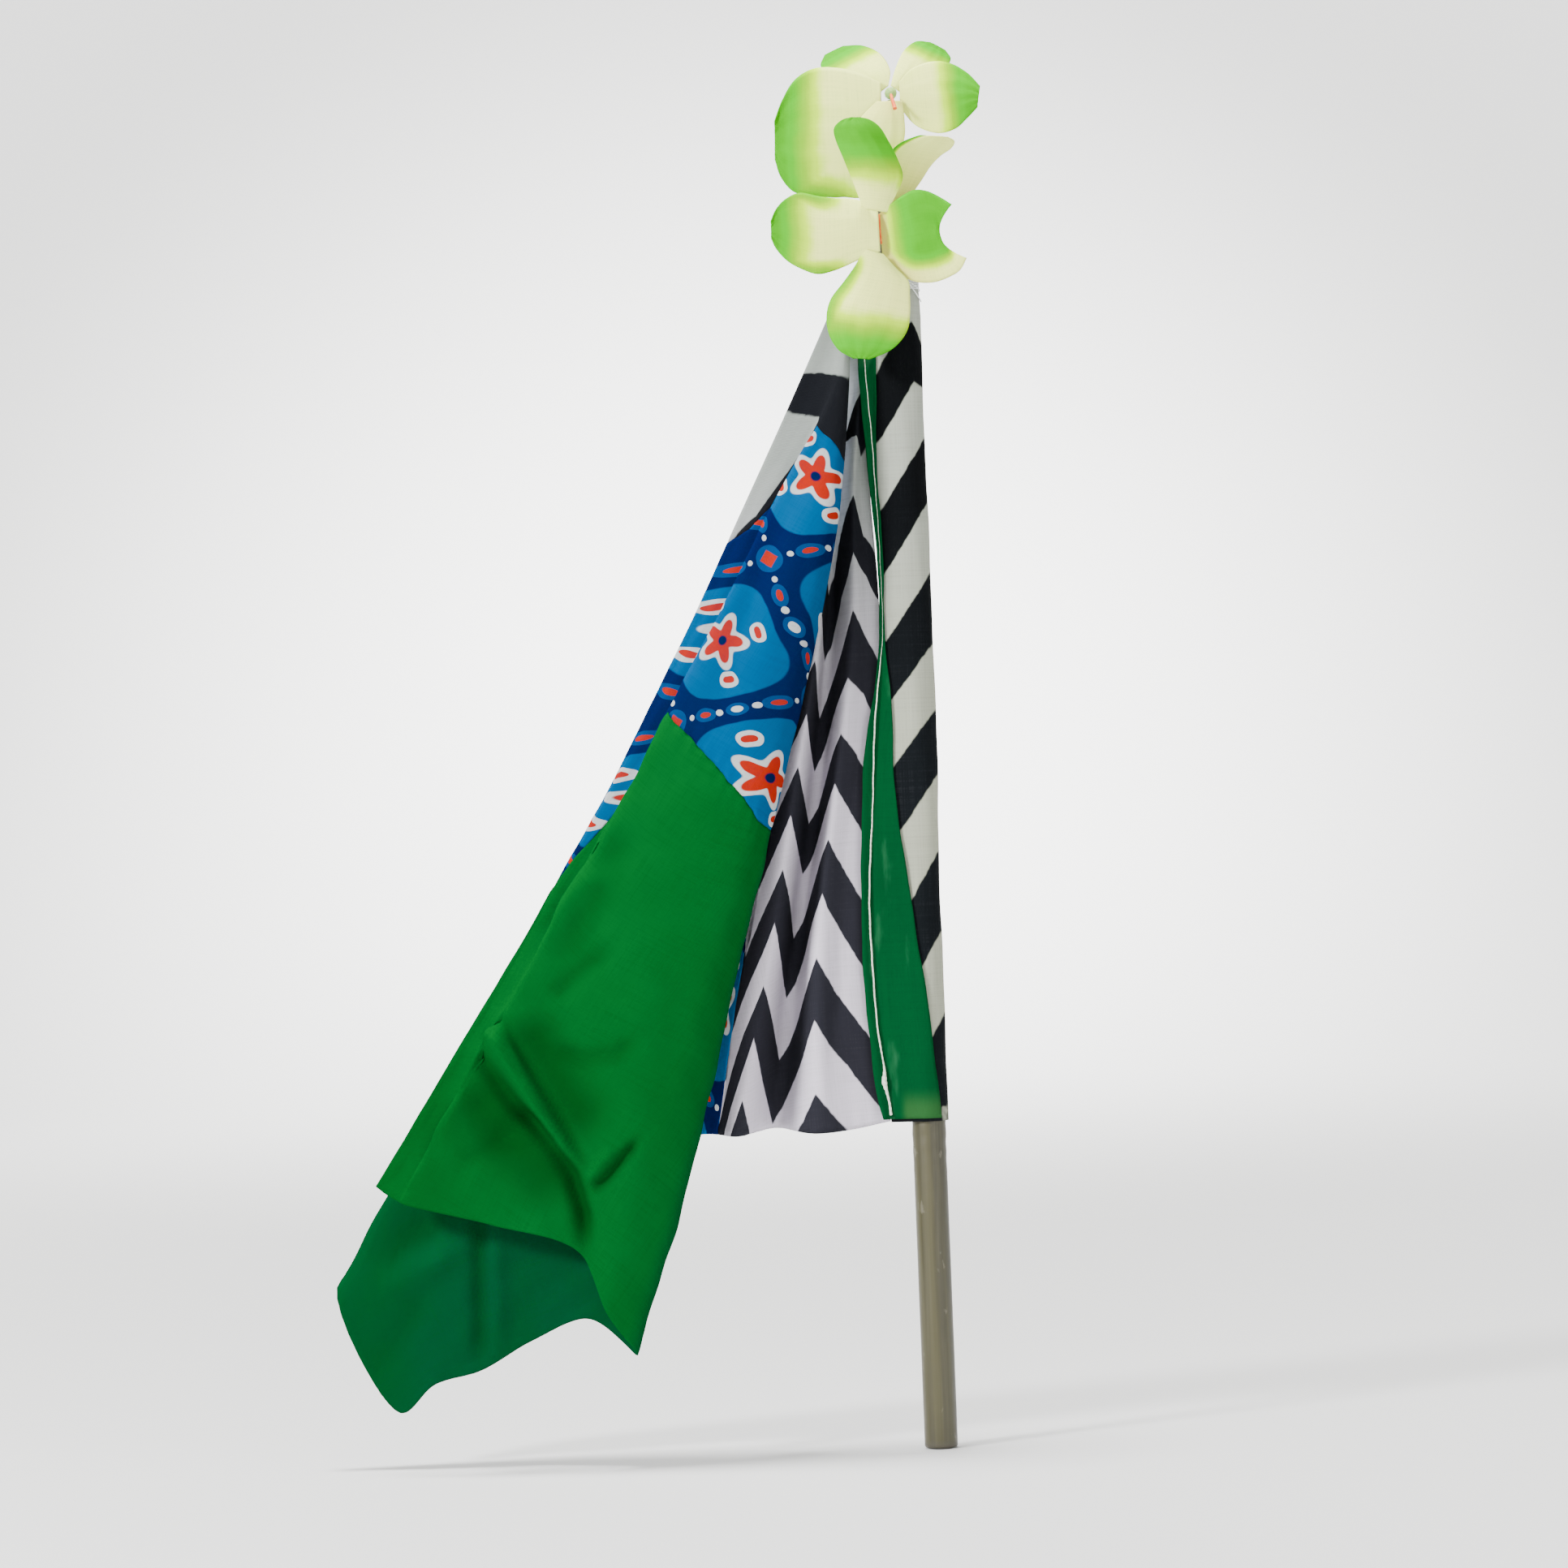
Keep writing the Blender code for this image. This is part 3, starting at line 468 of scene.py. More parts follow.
def soft_waves(flat, strength):
    """The small uneven swells of hanging cloth."""
    u, v = flat[..., 0], flat[..., 1]
    waves = 0.45 * np.sin(u / 15 + 0.8 * np.sin(v / 31)) * np.sin(v / 27 + 1.1)
    waves += 0.25 * np.sin(u / 6.3 + v / 17 + 2.0) * np.sin(v / 21 + 0.3)
    waves += 0.12 * np.sin(u / 3.1 - v / 9.0 + 0.6)
    return waves * strength


def grid_normals(points):
    rows_step = np.gradient(points, axis=0)
    columns_step = np.gradient(points, axis=1)
    normals = np.cross(columns_step, rows_step)
    return normals / np.maximum(np.linalg.norm(normals, axis=2, keepdims=True), 1e-9)


def link(name, data):
    piece = bpy.data.objects.new(name, data)
    bpy.context.scene.collection.objects.link(piece)
    return piece


def make_mesh(name, points, faces, material, flat=None, facts=None, sharp=180):
    """A mesh from points in millimetres. Edges over sharp degrees are sharp. flat and facts are each point's
    place in the flat cloth and its numbers, which the materials read."""
    mesh = bpy.data.meshes.new(name)
    mesh.from_pydata((points * MM).tolist(), [], faces)
    mesh.materials.append(material)
    mesh.shade_smooth()
    if sharp < 180:
        mesh.set_sharp_from_angle(angle=math.radians(sharp))
    for fact, values in (facts or {}).items():
        mesh.attributes.new(fact, "FLOAT", "POINT").data.foreach_set("value", values.astype(np.float32))
    if flat is not None:
        loops = np.empty(len(mesh.loops), dtype=np.int32)
        mesh.loops.foreach_get("vertex_index", loops)
        corners = (flat * MM)[loops].astype(np.float32)
        mesh.uv_layers.new(name="cloth").data.foreach_set("uv", corners.reshape(-1))
    return link(name, mesh)


def two_sided(name, front, back, quads, rims, material, flat, facts):
    """A closed cloth from two sides, joined along the rims, with the same flat places and facts on both."""
    points = np.concatenate([front.reshape(-1, 3), back.reshape(-1, 3)])
    count = len(points) // 2
    faces = [quads, count + quads[:, ::-1]]
    for rim in rims:
        after = np.roll(rim, -1)
        faces.append(np.stack([after, rim, count + rim, count + after], axis=-1))
    faces = np.concatenate(faces)
    a, b, c, d = points[faces].transpose(1, 0, 2)
    if (a * (np.cross(b, c) + np.cross(c, d))).sum() < 0:
        faces = faces[:, ::-1]
    for fact, values in facts.items():
        facts[fact] = np.tile(np.broadcast_to(values, front.shape[:2]).reshape(-1), 2)
    return make_mesh(name, points, faces.tolist(), material, np.tile(flat.reshape(-1, 2), (2, 1)), facts)


def sheet_mesh(name, points, thickness, material, flat, **facts):
    """A closed sheet from a grid of middle points."""
    rows, columns = points.shape[:2]
    half = grid_normals(points) * (np.broadcast_to(thickness, (rows, columns)) / 2)[..., None]
    index = np.arange(rows * columns).reshape(rows, columns)
    quads = np.stack([index[:-1, :-1], index[:-1, 1:], index[1:, 1:], index[1:, :-1]], axis=-1)
    rim = np.concatenate([index[0], index[1:, -1], index[-1, -2::-1], index[-2:0:-1, 0]])
    return two_sided(name, points + half, points - half, quads.reshape(-1, 4), [rim], material, flat, facts)


def ring_quads(rings, sides):
    """The numbers of the points on a stack of rings, and the quads between them."""
    index = np.arange(rings * sides).reshape(rings, sides)
    beside = np.roll(index, -1, axis=1)
    return index, np.stack([index[:-1], beside[:-1], beside[1:], index[1:]], axis=-1).reshape(-1, 4)


def capped_mesh(name, points, material, sharp):
    """A solid from a stack of rings, closed at both ends."""
    index, quads = ring_quads(*points.shape[:2])
    faces = [*quads.tolist(), index[0, ::-1].tolist(), index[-1].tolist()]
    return make_mesh(name, points.reshape(-1, 3), faces, material, sharp=sharp)


def place_pieces(piece, node):
    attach(piece, "root")
    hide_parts(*node)


def seam_run(places, seam):
    """Length along a seam at each place across."""
    points = cloth_points(places, seam(places))
    return np.concatenate([[0], np.cumsum(np.linalg.norm(np.diff(points, axis=0), axis=1))])


def cut_places(first):
    """The places across a panel where it is cut, from its first one to the free edge."""
    runs = [np.arange(part.first, part.last, 1 / part.steps) for part in FINENESS]
    inside = np.union1d(np.concatenate(runs), [SEAM_LEAVES])
    inside = inside[(inside > first + 0.01) & (inside < LAST_FOLD - 0.01)]
    return np.concatenate([[first], inside, [LAST_FOLD]])


def cloth_panel(panel, material):
    """One panel of the flag, with its creases, the puckers along its seams and its hem."""
    name = panel.kind + "_panel"
    places = cut_places(panel.first)
    share = np.linspace(0, 1, panel.rows + 1)[:, None]
    down = panel.top(places)[None] * (1 - share) + panel.bottom(places)[None] * share
    across = np.repeat(places[None], panel.rows + 1, axis=0)
    points = cloth_points(across, down)
    normals = grid_normals(points)
    flat = flat_coordinates(across, down)
    length = np.interp(across, FLAT_PLACES, FLAT_RADII)
    viewer = np.where(normals[..., 1] < 0, 1.0, -1.0)
    slack = smooth(0.02, 0.35, down)
    creases = crease_lift(panel.kind, across, points[..., 0], points[..., 2])
    lift = creases * viewer + soft_waves(flat, panel.wave_height) * slack
    for seam in panel.seams:
        away = np.abs(down - seam(across)) * length
        run = seam_run(places, seam)[None]
        pucker = np.sin(run * 2 * math.pi / PUCKER_SPACING + 1.3 * np.sin(run / 23))
        lift += PUCKER_HEIGHT * pucker * np.exp(-away / PUCKER_REACH) * slack
        lift -= SEAM_DIP * np.exp(-((away / SEAM_WIDTH) ** 2)) * slack
    to_foot = np.where(panel.bottom(across) < 0.999, 99.0, (1 - down) * length)
    to_side = np.linalg.norm(points - points[:, -1:], axis=2)
    hem = 1 - smooth(HEM_WIDTH - HEM_FALL, HEM_WIDTH, np.minimum(to_foot, to_side))
    lift += HEM_SWELL * np.sin(flat[..., 0] / 4.2) * np.sin(flat[..., 1] / 5.1) * hem
    points = points + normals * lift[..., None]
    piece = sheet_mesh(
        name,
        points,
        CLOTH_THICKNESS + 2 * HEM_STEP * hem,
        material,
        flat,
        phase=band_phase(across, points[..., 2]),
        inner=smooth(10.2, 11.1, across) * smooth(-17.6, -16.8, -across),
        # Painted shade: how far the creases sink, which darkens the plain cloth there.
        groove=np.clip(-creases / CREASE_SHADE_DEPTH, 0, 1),
        # Painted light: where the chevron's whites are made lighter, on the pleats in the front fold's shadow.
        pleat=smooth(1.9, 2.6, across) * smooth(-10, -9, -across) * smooth(395, 450, points[..., 2]),
    )
    place_pieces(piece, [name])


# How far the sleeve's right side reaches at some heights: it stands off the stick in the upper part.
SLEEVE_SIDES = np.array((
    (154, 9.6), (250, 9.6), (311, 10.5), (370, 11.1), (465, 10.4), (530, 10.8), (551, 9.8),
)).T
SLEEVE_FOOT = 153.5
SLEEVE_TIP_OUT = 3.0
SLEEVE_LEVELS = 190
SLEEVE_ARC_STEPS = 60

# The facing strip laid over the seam, from its lower end to its upper one: the height, and X of both edges.
FACING = np.array((
    (155, -21, 6), (163, -23.2, 5.5), (194, -26.4, 2.9), (216, -27.6, 0.8),
    (231, -28.3, -1.3), (257, -27.6, -4.1), (292, -26.3, -8.6), (326, -23.5, -10.1),
    (341, -21, -9.9), (356, -17.8, -10.5), (375, -14.8, -11.6), (413, -14, -11.4),
    (433, -14.6, -11.6), (452, -16.3, -12.2), (469, -17.5, -12.4), (494, -18.8, -11.6),
    (509, -19.4, -11), (532, -18.6, -10.8),
)).T
FACING_LEVELS = 220
FACING_STEPS = 22
FACING_CLEAR = 1.35
FACING_LEFT_LIFT = 2.4
FACING_THICKNESS = 0.5

# The pale cord sewn down the facing: the height, X there, and the cord's radius.
FACING_CORD = np.array((
    (157, -17.6, 0.65), (165, -18.6, 0.55), (169, -19.4, 0.75), (173, -20.2, 1.25),
    (177, -20, 0.70), (194, -22, 0.42), (228, -23.6, 0.40), (252, -24, 0.38),
    (303, -20.6, 0.36), (345, -17.6, 0.34), (362, -15.4, 0.26), (378, -13.2, 0.10),
    (413, -12.6, 0.08), (436, -13, 0.12), (452, -13.6, 0.18), (474, -14.3, 0.20),
    (492, -15.4, 0.20), (528, -17.2, 0.20),
)).T
CORD_SIDES = 10
CORD_STEPS = 500
CORD_THINNEST = 0.08

THREAD_RADIUS = 0.28
THREAD_TURNS = 8
THREAD_STEPS = 40
THREAD_LOW = 543.5
THREAD_HIGH = 549.5
STRAY_THREADS = (
    ((4.6, -11.4, 547.5), (8.2, -8.6, 546.8), (10.9, -3, 546.4), (10.2, 3.4, 546.6)),
    ((4.6, -11.6, 547.2), (8.4, -8.8, 544.6), (11.2, -3, 543.4), (10.8, 3, 542.8)),
    ((4.8, -11.7, 546.8), (8, -9.6, 542.4), (10.6, -5, 539.2), (11.4, 0, 537.6)),
    ((4.2, -11.8, 547.6), (5.4, -11.6, 552), (6.6, -11.4, 555.5), (6, -13, 558.5)),
)
STAMEN_STEPS = 24

# The petals, each with the size and area that it was cut to, in metres, and as rows from its foot to its tip.
# A row is X and Z of its end a, X and Z of its end b, its out at a, in the middle and at b, and how far its
# middle is drawn towards the foot. cream, edge_a and edge_b are how far along it the lime starts in its middle
# and at its edges. pale_b is how much paler side b is, and the field after it how much shade is painted in tan
# at the foot.
Petal = namedtuple("Petal", "node flat area cream edge_a edge_b pale_b tan rows")
PETALS = (
    Petal("lower_flower_petal_left", (0.037, 0.048), 0.0015, 0.42, 0.22, 0.18, 0, 0, (
        (-7.6, 578.5, -7.2, 560, 21, 23, 22, 0),
        (-13.5, 583, -14, 558, 21.5, 24, 21.5, 0),
        (-20, 585, -21, 555, 21.5, 24.5, 21, 0),
        (-28, 585.6, -29, 552, 22, 24.5, 21, 0),
        (-36, 587, -37, 550.6, 22.5, 24, 21.5, 0),
        (-44, 588.6, -45, 553.6, 23, 23, 22, 0),
        (-50.5, 586, -51, 557.5, 23, 21.5, 22, 0),
        (-55, 581.5, -55.6, 563, 22.5, 20.5, 22, 0),
        (-57.6, 576, -57.8, 568, 21.5, 20, 21.5, 0),
    )),
    Petal("lower_flower_petal_bottom", (0.039, 0.047), 0.0016, 0.44, 0.02, 0.45, 0, 0, (
        (-14.5, 561.5, -6, 558.6, 22, 23.4, 23.2, 0),
        (-16.5, 558, -0.5, 552, 22, 25.5, 23.6, 0),
        (-20, 552.5, 5.2, 545.6, 22.5, 26.8, 24, 0),
        (-25, 546, 5.6, 539, 23.5, 28.2, 25, 0),
        (-31, 538.6, 5.4, 531, 24.5, 29.5, 26, 0),
        (-33.4, 530.6, 4, 523, 25.5, 30, 27, 0),
        (-32.6, 522, 0, 517, 26.5, 30, 28, 0),
        (-28.5, 514.5, -6, 512.6, 28, 30, 29, 0),
        (-22, 510.2, -14.5, 509.6, 29, 29.5, 29, 0),
    )),
    Petal("lower_flower_petal_right", (0.044, 0.036), 0.0013, 0.04, 0.10, 2, 1, 1, (
        (-7.4, 577.6, -6.2, 559.4, 17.6, 17, 18, 0),
        (-4.6, 579.4, -2, 553.6, 21, 18.6, 19.5, 0),
        (-1, 582, 3.4, 547.8, 24, 22.5, 20.5, 0),
        (4, 585.2, 10, 545, 25, 25.5, 21.5, 0),
        (9.5, 587.6, 17.5, 544.6, 25.5, 27.2, 23, 0),
        (15.5, 586.8, 24, 546.4, 26.5, 27.8, 25, 1.5),
        (21.5, 583.6, 29.5, 549.4, 28, 27.6, 28, 5),
        (26.6, 579.8, 32.6, 554.6, 30, 27, 31, 9),
    )),
    Petal("lower_flower_petal_top", (0.026, 0.048), 0.0011, 0.12, 0.30, 0.10, 0, 0, (
        (-14.2, 580, -3.4, 578, 22, 23, 22, 0),
        (-17, 588, 0.8, 585.6, 24, 28, 24.5, 0),
        (-20, 596, 4.4, 593.6, 28, 34, 29, 0),
        (-23, 603.6, 2, 602, 32, 38.5, 33, 0),
        (-26, 611.4, -2, 610, 35, 41.5, 36.5, 0),
        (-26.6, 616.4, -5.6, 616, 37, 42, 38, 0),
        (-23.4, 619.6, -10, 619.4, 39, 41, 39.5, 0),
        (-18.8, 620.8, -14.6, 620.7, 40, 40.4, 40, 0),
    )),
    Petal("lower_flower_petal_upper_right", (0.023, 0.036), 0.0007, 2.5, 2, 2, 0, 0.8, (
        (-3.8, 580.4, -2, 578.6, 18.5, 18.5, 18, 0),
        (-4.5, 588, 6.5, 584.6, 19, 18, 15.5, 0),
        (-3.5, 596, 12.8, 592.2, 20.5, 17.5, 14, 0),
        (-1.8, 603, 18, 599.6, 22, 18, 13.5, 0),
        (1, 607.6, 23, 604.4, 23.5, 19, 14, 0),
        (6, 610.8, 27.6, 607.2, 24.5, 21, 16, 0),
        (12.5, 612.8, 29.4, 610.2, 25, 24, 19, 0),
        (18, 612.4, 26.5, 612, 24.5, 25, 22, 0),
    )),
    Petal("upper_flower_petal_left", (0.060, 0.050), 0.0025, 0.34, 0.50, 0.12, 0, 0, (
        (-3.5, 640, -4, 624, 8, 9, 8, 0),
        (-13, 645, -11, 590, 7.5, 10.5, 10, 0),
        (-24, 648, -24, 587, 7, 11, 11, 0),
        (-35, 648, -35.5, 588, 7, 10.5, 11, 0),
        (-44, 643, -46, 590.2, 7.5, 9, 10.5, 0),
        (-50, 634, -52, 597.4, 8, 8, 10, 0),
        (-54, 624, -54.6, 606, 9, 7.5, 9.5, 0),
    )),
    Petal("upper_flower_petal_bottom", (0.025, 0.032), 0.0007, 0.85, 2, 2, 0, 0.4, (
        (-6, 631, 6, 631, 11, 12, 11, 0),
        (-14, 623, 6.6, 623, 12.5, 15, 12, 0),
        (-18, 614, 6.4, 614, 13.5, 17, 13, 0),
        (-17, 605, 3, 605, 15, 17.5, 14.5, 0),
        (-12, 599, -2, 599, 16.5, 17.5, 16.5, 0),
    )),
    Petal("upper_flower_petal_right", (0.034, 0.036), 0.0010, 0.34, 0.50, 0.40, 0, 0, (
        (5, 640, 5, 628, 8.5, 9, 8.5, 0),
        (11, 646, 12, 619.4, 8, 10.5, 9, 0),
        (20, 649, 22, 615.4, 7.5, 11.5, 9.5, 0),
        (29, 648, 30.4, 617, 8, 12, 10.5, 0),
        (37, 643, 36, 621.6, 9, 12, 11.5, 0),
        (42.6, 636.5, 41, 626.6, 10.5, 12, 12, 0),
    )),
    Petal("upper_flower_petal_upper_left", (0.026, 0.034), 0.0007, 0.40, 0.50, 0.50, 0, 0, (
        (-4, 636, 0, 639, 4, 4.5, 4, 0),
        (-16, 640, 1, 647, 0, 2.5, 0, 0),
        (-26, 645, -3, 655, -5, -2.5, -5, 0),
        (-31, 651, -11, 660, -11, -9, -11, 0),
        (-29, 657, -20, 661, -16, -15, -16, 0),
    )),
    Petal("upper_flower_petal_upper_right", (0.021, 0.034), 0.0006, 0.40, 0.50, 0.50, 0, 0, (
        (1, 639, 5, 636, 4, 4.5, 4, 0),
        (4, 648, 17, 641, 0, 2.5, 0, 0),
        (8, 656, 26, 646, -5, -2.5, -5, 0),
        (14, 661, 30, 652, -11, -9, -11, 0),
        (21, 661, 28, 657, -16, -15, -16, 0),
    )),
)
PETAL_LENGTH_STEPS = 54
PETAL_WIDTH_STEPS = 30
PETAL_THICKNESS = 0.45
LIME_REACH = 0.48
LIME_RIM = 0.66


def seam_at(height):
    """X of the seam where the sleeve's tip meets the chevron panel's hoist edge."""
    hoist = FOLDS[0]
    down = (GATHER_HEIGHT - height) / (GATHER_HEIGHT - hoist.foot)
    return float(hermite(STATIONS, hoist.across, down)) + 0.5


def sleeve_right(height):
    return float(np.interp(height, *SLEEVE_SIDES))


def sleeve_ring(height, radius, tip_radius, tip_inset):
    """A drop-shaped ring: round on the stick and drawn to a tip at the seam, in X and distance out."""
    tip = np.array([seam_at(height) + tip_radius + tip_inset, SLEEVE_TIP_OUT])
    lean = math.atan2(tip[1], -tip[0])
    open_angle = math.acos((radius - tip_radius) / np.linalg.norm(tip))
    steps = np.arange(SLEEVE_ARC_STEPS + 1) / SLEEVE_ARC_STEPS
    turn = math.pi - lean - open_angle - steps * 2 * (math.pi - open_angle)
    x = radius * np.cos(turn)
    x = np.where(x > 0, x * sleeve_right(height) / SLEEVE_RADIUS, x)
    ring = np.stack([x, radius * np.sin(turn)], axis=1)
    turn = math.pi - lean + open_angle - np.arange(1, 6) / 6 * 2 * open_angle
    end = np.stack([tip[0] + tip_radius * np.cos(turn), tip[1] + tip_radius * np.sin(turn)], axis=1)
    quarters = np.array([[0.25], [0.5], [0.75]])
    low = ring[-1] + (end[0] - ring[-1]) * quarters
    high = end[-1] + (ring[0] - end[-1]) * quarters
    return np.concatenate([ring, low, end, high])


def outer_ring(height):
    return sleeve_ring(height, SLEEVE_RADIUS, 1.0, 0.0)


def sleeve_front(height):
    """The profile of the sleeve's front at a height, as X and distance out."""
    ring = outer_ring(height)
    return np.concatenate([ring[-6:], ring[: SLEEVE_ARC_STEPS // 2]])


def sleeve_phase(x, height):
    left, peak, right = (table_phase(table, height) for table in (SLEEVE_LEFT, SLEEVE_PEAK, SLEEVE_RIGHT))
    near = np.clip((x + 11.0) / (SLEEVE_PEAK_AT + 11.0), 0, 1)
    far = np.clip((x - SLEEVE_PEAK_AT) / (10.6 - SLEEVE_PEAK_AT), 0, 1)
    return np.where(x < SLEEVE_PEAK_AT, left * (1 - near) + peak * near, peak * (1 - far) + right * far)


def make_sleeve(material):
    """The cloth tube on the stick, open at both ends, with lengthwise slack and a pinch under the thread."""
    levels = np.linspace(SLEEVE_FOOT, SLEEVE_TOP, SLEEVE_LEVELS + 1)
    outer = np.array([outer_ring(height) for height in levels])
    inner = np.array([sleeve_ring(height, STICK_RADIUS + 0.45, 0.35, 1.2) for height in levels])
    height = np.repeat(levels[:, None], outer.shape[1], axis=1)
    around = np.arctan2(outer[..., 1], outer[..., 0])
    pinch = np.exp(-(((height - (THREAD_LOW + THREAD_HIGH) / 2) / 4.5) ** 2))
    slack = 0.28 * np.sin(around * 3 + height / 37) * np.sin(height / 26 + 0.5)
    slack += 0.16 * np.sin(around * 5 - height / 19) + 0.10 * np.sin(height / 6.1 + around * 2)
    gathers = 0.30 * np.sin(around * 11) * smooth(500, 548, height)
    swell = (slack + gathers - 0.25 * pinch)[..., None]
    radial = outer / np.linalg.norm(outer, axis=2, keepdims=True)
    outer = outer + radial * np.clip(swell, -0.75, 0.6)
    front, back = (np.stack([ring[..., 0], -ring[..., 1], height], axis=2) for ring in (outer, inner))
    index, quads = ring_quads(*height.shape)
    flat = np.stack([around * SLEEVE_RADIUS, height], axis=2)
    facts = {"phase": sleeve_phase(outer[..., 0], height)}
    rims = [index[0], index[-1, ::-1]]
    piece = two_sided("stick_sleeve", front, back, quads, rims, material, flat, facts)
    place_pieces(piece, ["stick_sleeve"])


def facing_route(x, height):
    """How far out the facing's middle lies at several X of one height."""
    seam = seam_at(height)
    front = sleeve_front(height)
    out = np.interp(np.maximum(x, seam + 1.0), front[:, 0], front[:, 1]) + FACING_CLEAR
    return out + FACING_LEFT_LIFT * np.clip((seam + 1.0 - x) / 4, 0, 1)


def make_facing(material):
    """The green strip over the seam beside the stick."""
    heights, lefts, rights = FACING
    levels = np.linspace(heights[0], heights[-1], FACING_LEVELS + 1)
    left = hermite(heights, lefts, levels) + 0.18 * np.sin(levels / 9.0) + 0.1 * np.sin(levels / 3.7)
    right = hermite(heights, rights, levels) + 0.18 * np.sin(levels / 11.0 + 1) + 0.1 * np.sin(levels / 4.3)
    share = np.linspace(0, 1, FACING_STEPS + 1)
    x = left[:, None] + (right - left)[:, None] * share
    out = np.array([facing_route(row, height) for row, height in zip(x, levels)])
    wide = (right - left)[:, None]
    ripple = 0.35 * np.sin(share * 9 + levels[:, None] / 60) * np.sin(levels[:, None] / 35)
    ripple += 0.25 * np.sin(share * 16 + levels[:, None] / 90)
    out += ripple * smooth(3, 15, wide) * np.sin(math.pi * share)
    points = np.stack([x, -out, np.repeat(levels[:, None], FACING_STEPS + 1, axis=1)], axis=2)
    flat = np.stack([x - left[:, None], points[..., 2]], axis=2)
    piece = sheet_mesh("facing_strip", points, FACING_THICKNESS, material, flat, inner=0.0)
    place_pieces(piece, ["facing_strip"])


def tube(name, route, radii, sides, material):
    """A closed tube with a radius for each point of its route."""
    route = np.array(route, float)
    ahead = np.gradient(route, axis=0)
    ahead /= np.linalg.norm(ahead, axis=1, keepdims=True)
    side = np.cross(ahead, (0.0, 1.0, 0.0))
    side /= np.linalg.norm(side, axis=1, keepdims=True)
    other = np.cross(ahead, side)
    turn = np.arange(sides) / sides * 2 * math.pi
    spokes = side[:, None] * np.cos(turn)[None, :, None] + other[:, None] * np.sin(turn)[None, :, None]
    return capped_mesh(name, route[:, None] + spokes * np.asarray(radii)[:, None, None], material, 60)


def make_facing_cord(material):
    heights, acrosses, radii = FACING_CORD
    levels = np.linspace(heights[0], heights[-1], CORD_STEPS)
    x = hermite(heights, acrosses, levels) + 0.08 * np.sin(levels / 2.3)
    radius = np.maximum(hermite(heights, radii, levels), CORD_THINNEST) * (1 + 0.10 * np.sin(levels * 2.6))
    out = np.array([facing_route(np.array([place]), height)[0] for place, height in zip(x, levels)])
    route = np.stack([x, -(out + FACING_THICKNESS / 2 + radius * 0.75), levels], axis=1)
    piece = tube("facing_cord", route, radius, CORD_SIDES, material)
    place_pieces(piece, ["facing_cord"])


def make_threads(material):
    """The winding that ties the flowers on, and the few threads that run up from it to the flower."""
    curve = bpy.data.curves.new("tie_thread", "CURVE")
    curve.dimensions = "3D"
    curve.bevel_depth = THREAD_RADIUS * MM
    curve.bevel_resolution = 2
    curve.use_fill_caps = True
    winding = []
    count = THREAD_TURNS * THREAD_STEPS
    for step in range(count + 1):
        height = THREAD_LOW + (THREAD_HIGH - THREAD_LOW) * step / count
        turn = 2 * math.pi * step / THREAD_STEPS
        reach = sleeve_right(height) + 0.45 if math.cos(turn) > 0 else 1.7 - seam_at(height)
        winding.append((reach * math.cos(turn), -(SLEEVE_RADIUS + 0.55) * math.sin(turn), height))
    for route in (winding, *STRAY_THREADS):
        line = curve.splines.new("POLY" if route is winding else "NURBS")
        line.points.add(len(route) - 1)
        for point, place in zip(line.points, route):
            point.co = (*(np.array(place) * MM), 1.0)
        if route is not winding:
            line.order_u = 4
            line.use_endpoint_u = True
            line.resolution_u = 12
    curve.materials.append(material)
    place_pieces(link("tie_thread", curve), ["tie_thread"])


def make_petal(petal, material):
    """One petal as a sheet, with where its lime lies and where shade is painted in tan at its foot."""
    rows = np.array(petal.rows, float)
    places = np.linspace(0, len(rows) - 1, PETAL_LENGTH_STEPS + 1)
    table = np.stack([hermite(range(len(rows)), column, places) for column in rows.T], axis=1)
    ax, az, bx, bz, a_out, middle_out, b_out, pull = (column[:, None] for column in table.T)
    share = np.linspace(0, 1, PETAL_WIDTH_STEPS + 1)[None]
    u = 2 * share - 1
    ahead = np.gradient(np.concatenate([(ax + bx) / 2, (az + bz) / 2], axis=1), axis=0)
    ahead /= np.maximum(np.linalg.norm(ahead, axis=1, keepdims=True), 1e-6)
    x = ax * (1 - share) + bx * share - ahead[:, :1] * pull * (1 - u**2)
    z = az * (1 - share) + bz * share - ahead[:, 1:] * pull * (1 - u**2)
    out = (a_out + b_out) / 2 + (b_out - a_out) / 2 * u
    out = out + (middle_out - (a_out + b_out) / 2) * (1 - u**2)
    along = places[:, None] / (len(rows) - 1)
    ripple = 0.45 * np.sin(along * 9 + u * 2.2) * along * np.abs(u) ** 1.5
    ripple += 0.18 * np.sin(u * 14 + along * 3) * along
    points = np.stack([x, -(out + ripple), z], axis=2)
    lime = smooth(petal.cream, petal.cream + LIME_REACH, along + 0 * u)
    for edge, side in ((petal.edge_a, -u), (petal.edge_b, u)):
        lime = np.maximum(lime, LIME_RIM * smooth(0.50, 1.05, side) * smooth(edge, edge + 0.3, along))
    lime = lime * (1 - petal.pale_b * smooth(0.30, 0.85, u))
    if petal.cream > 1:
        lime = smooth(0.72, 1.0, -u) * smooth(0.35, 0.6, along)
    # Painted shade at the petal's foot, full there and gone three quarters along.
    tan = petal.tan * (1 - smooth(0.10, 0.75, along)) + 0 * u
    flat = np.stack([u * 20 + 0 * along, along * 60 + 0 * u], axis=2)
    piece = sheet_mesh(petal.node, points, PETAL_THICKNESS, material, flat, lime=lime, tan=tan)
    place_pieces(piece, [petal.node])
    calyx = petal.node[: len("lower_flower")] + "_calyx"


def spread(route, count):
    """More points on a smooth line through a few."""
    route = np.array(route, float)
    places = np.linspace(0, len(route) - 1, count)
    return np.stack([hermite(range(len(route)), column, places) for column in route.T], axis=1)


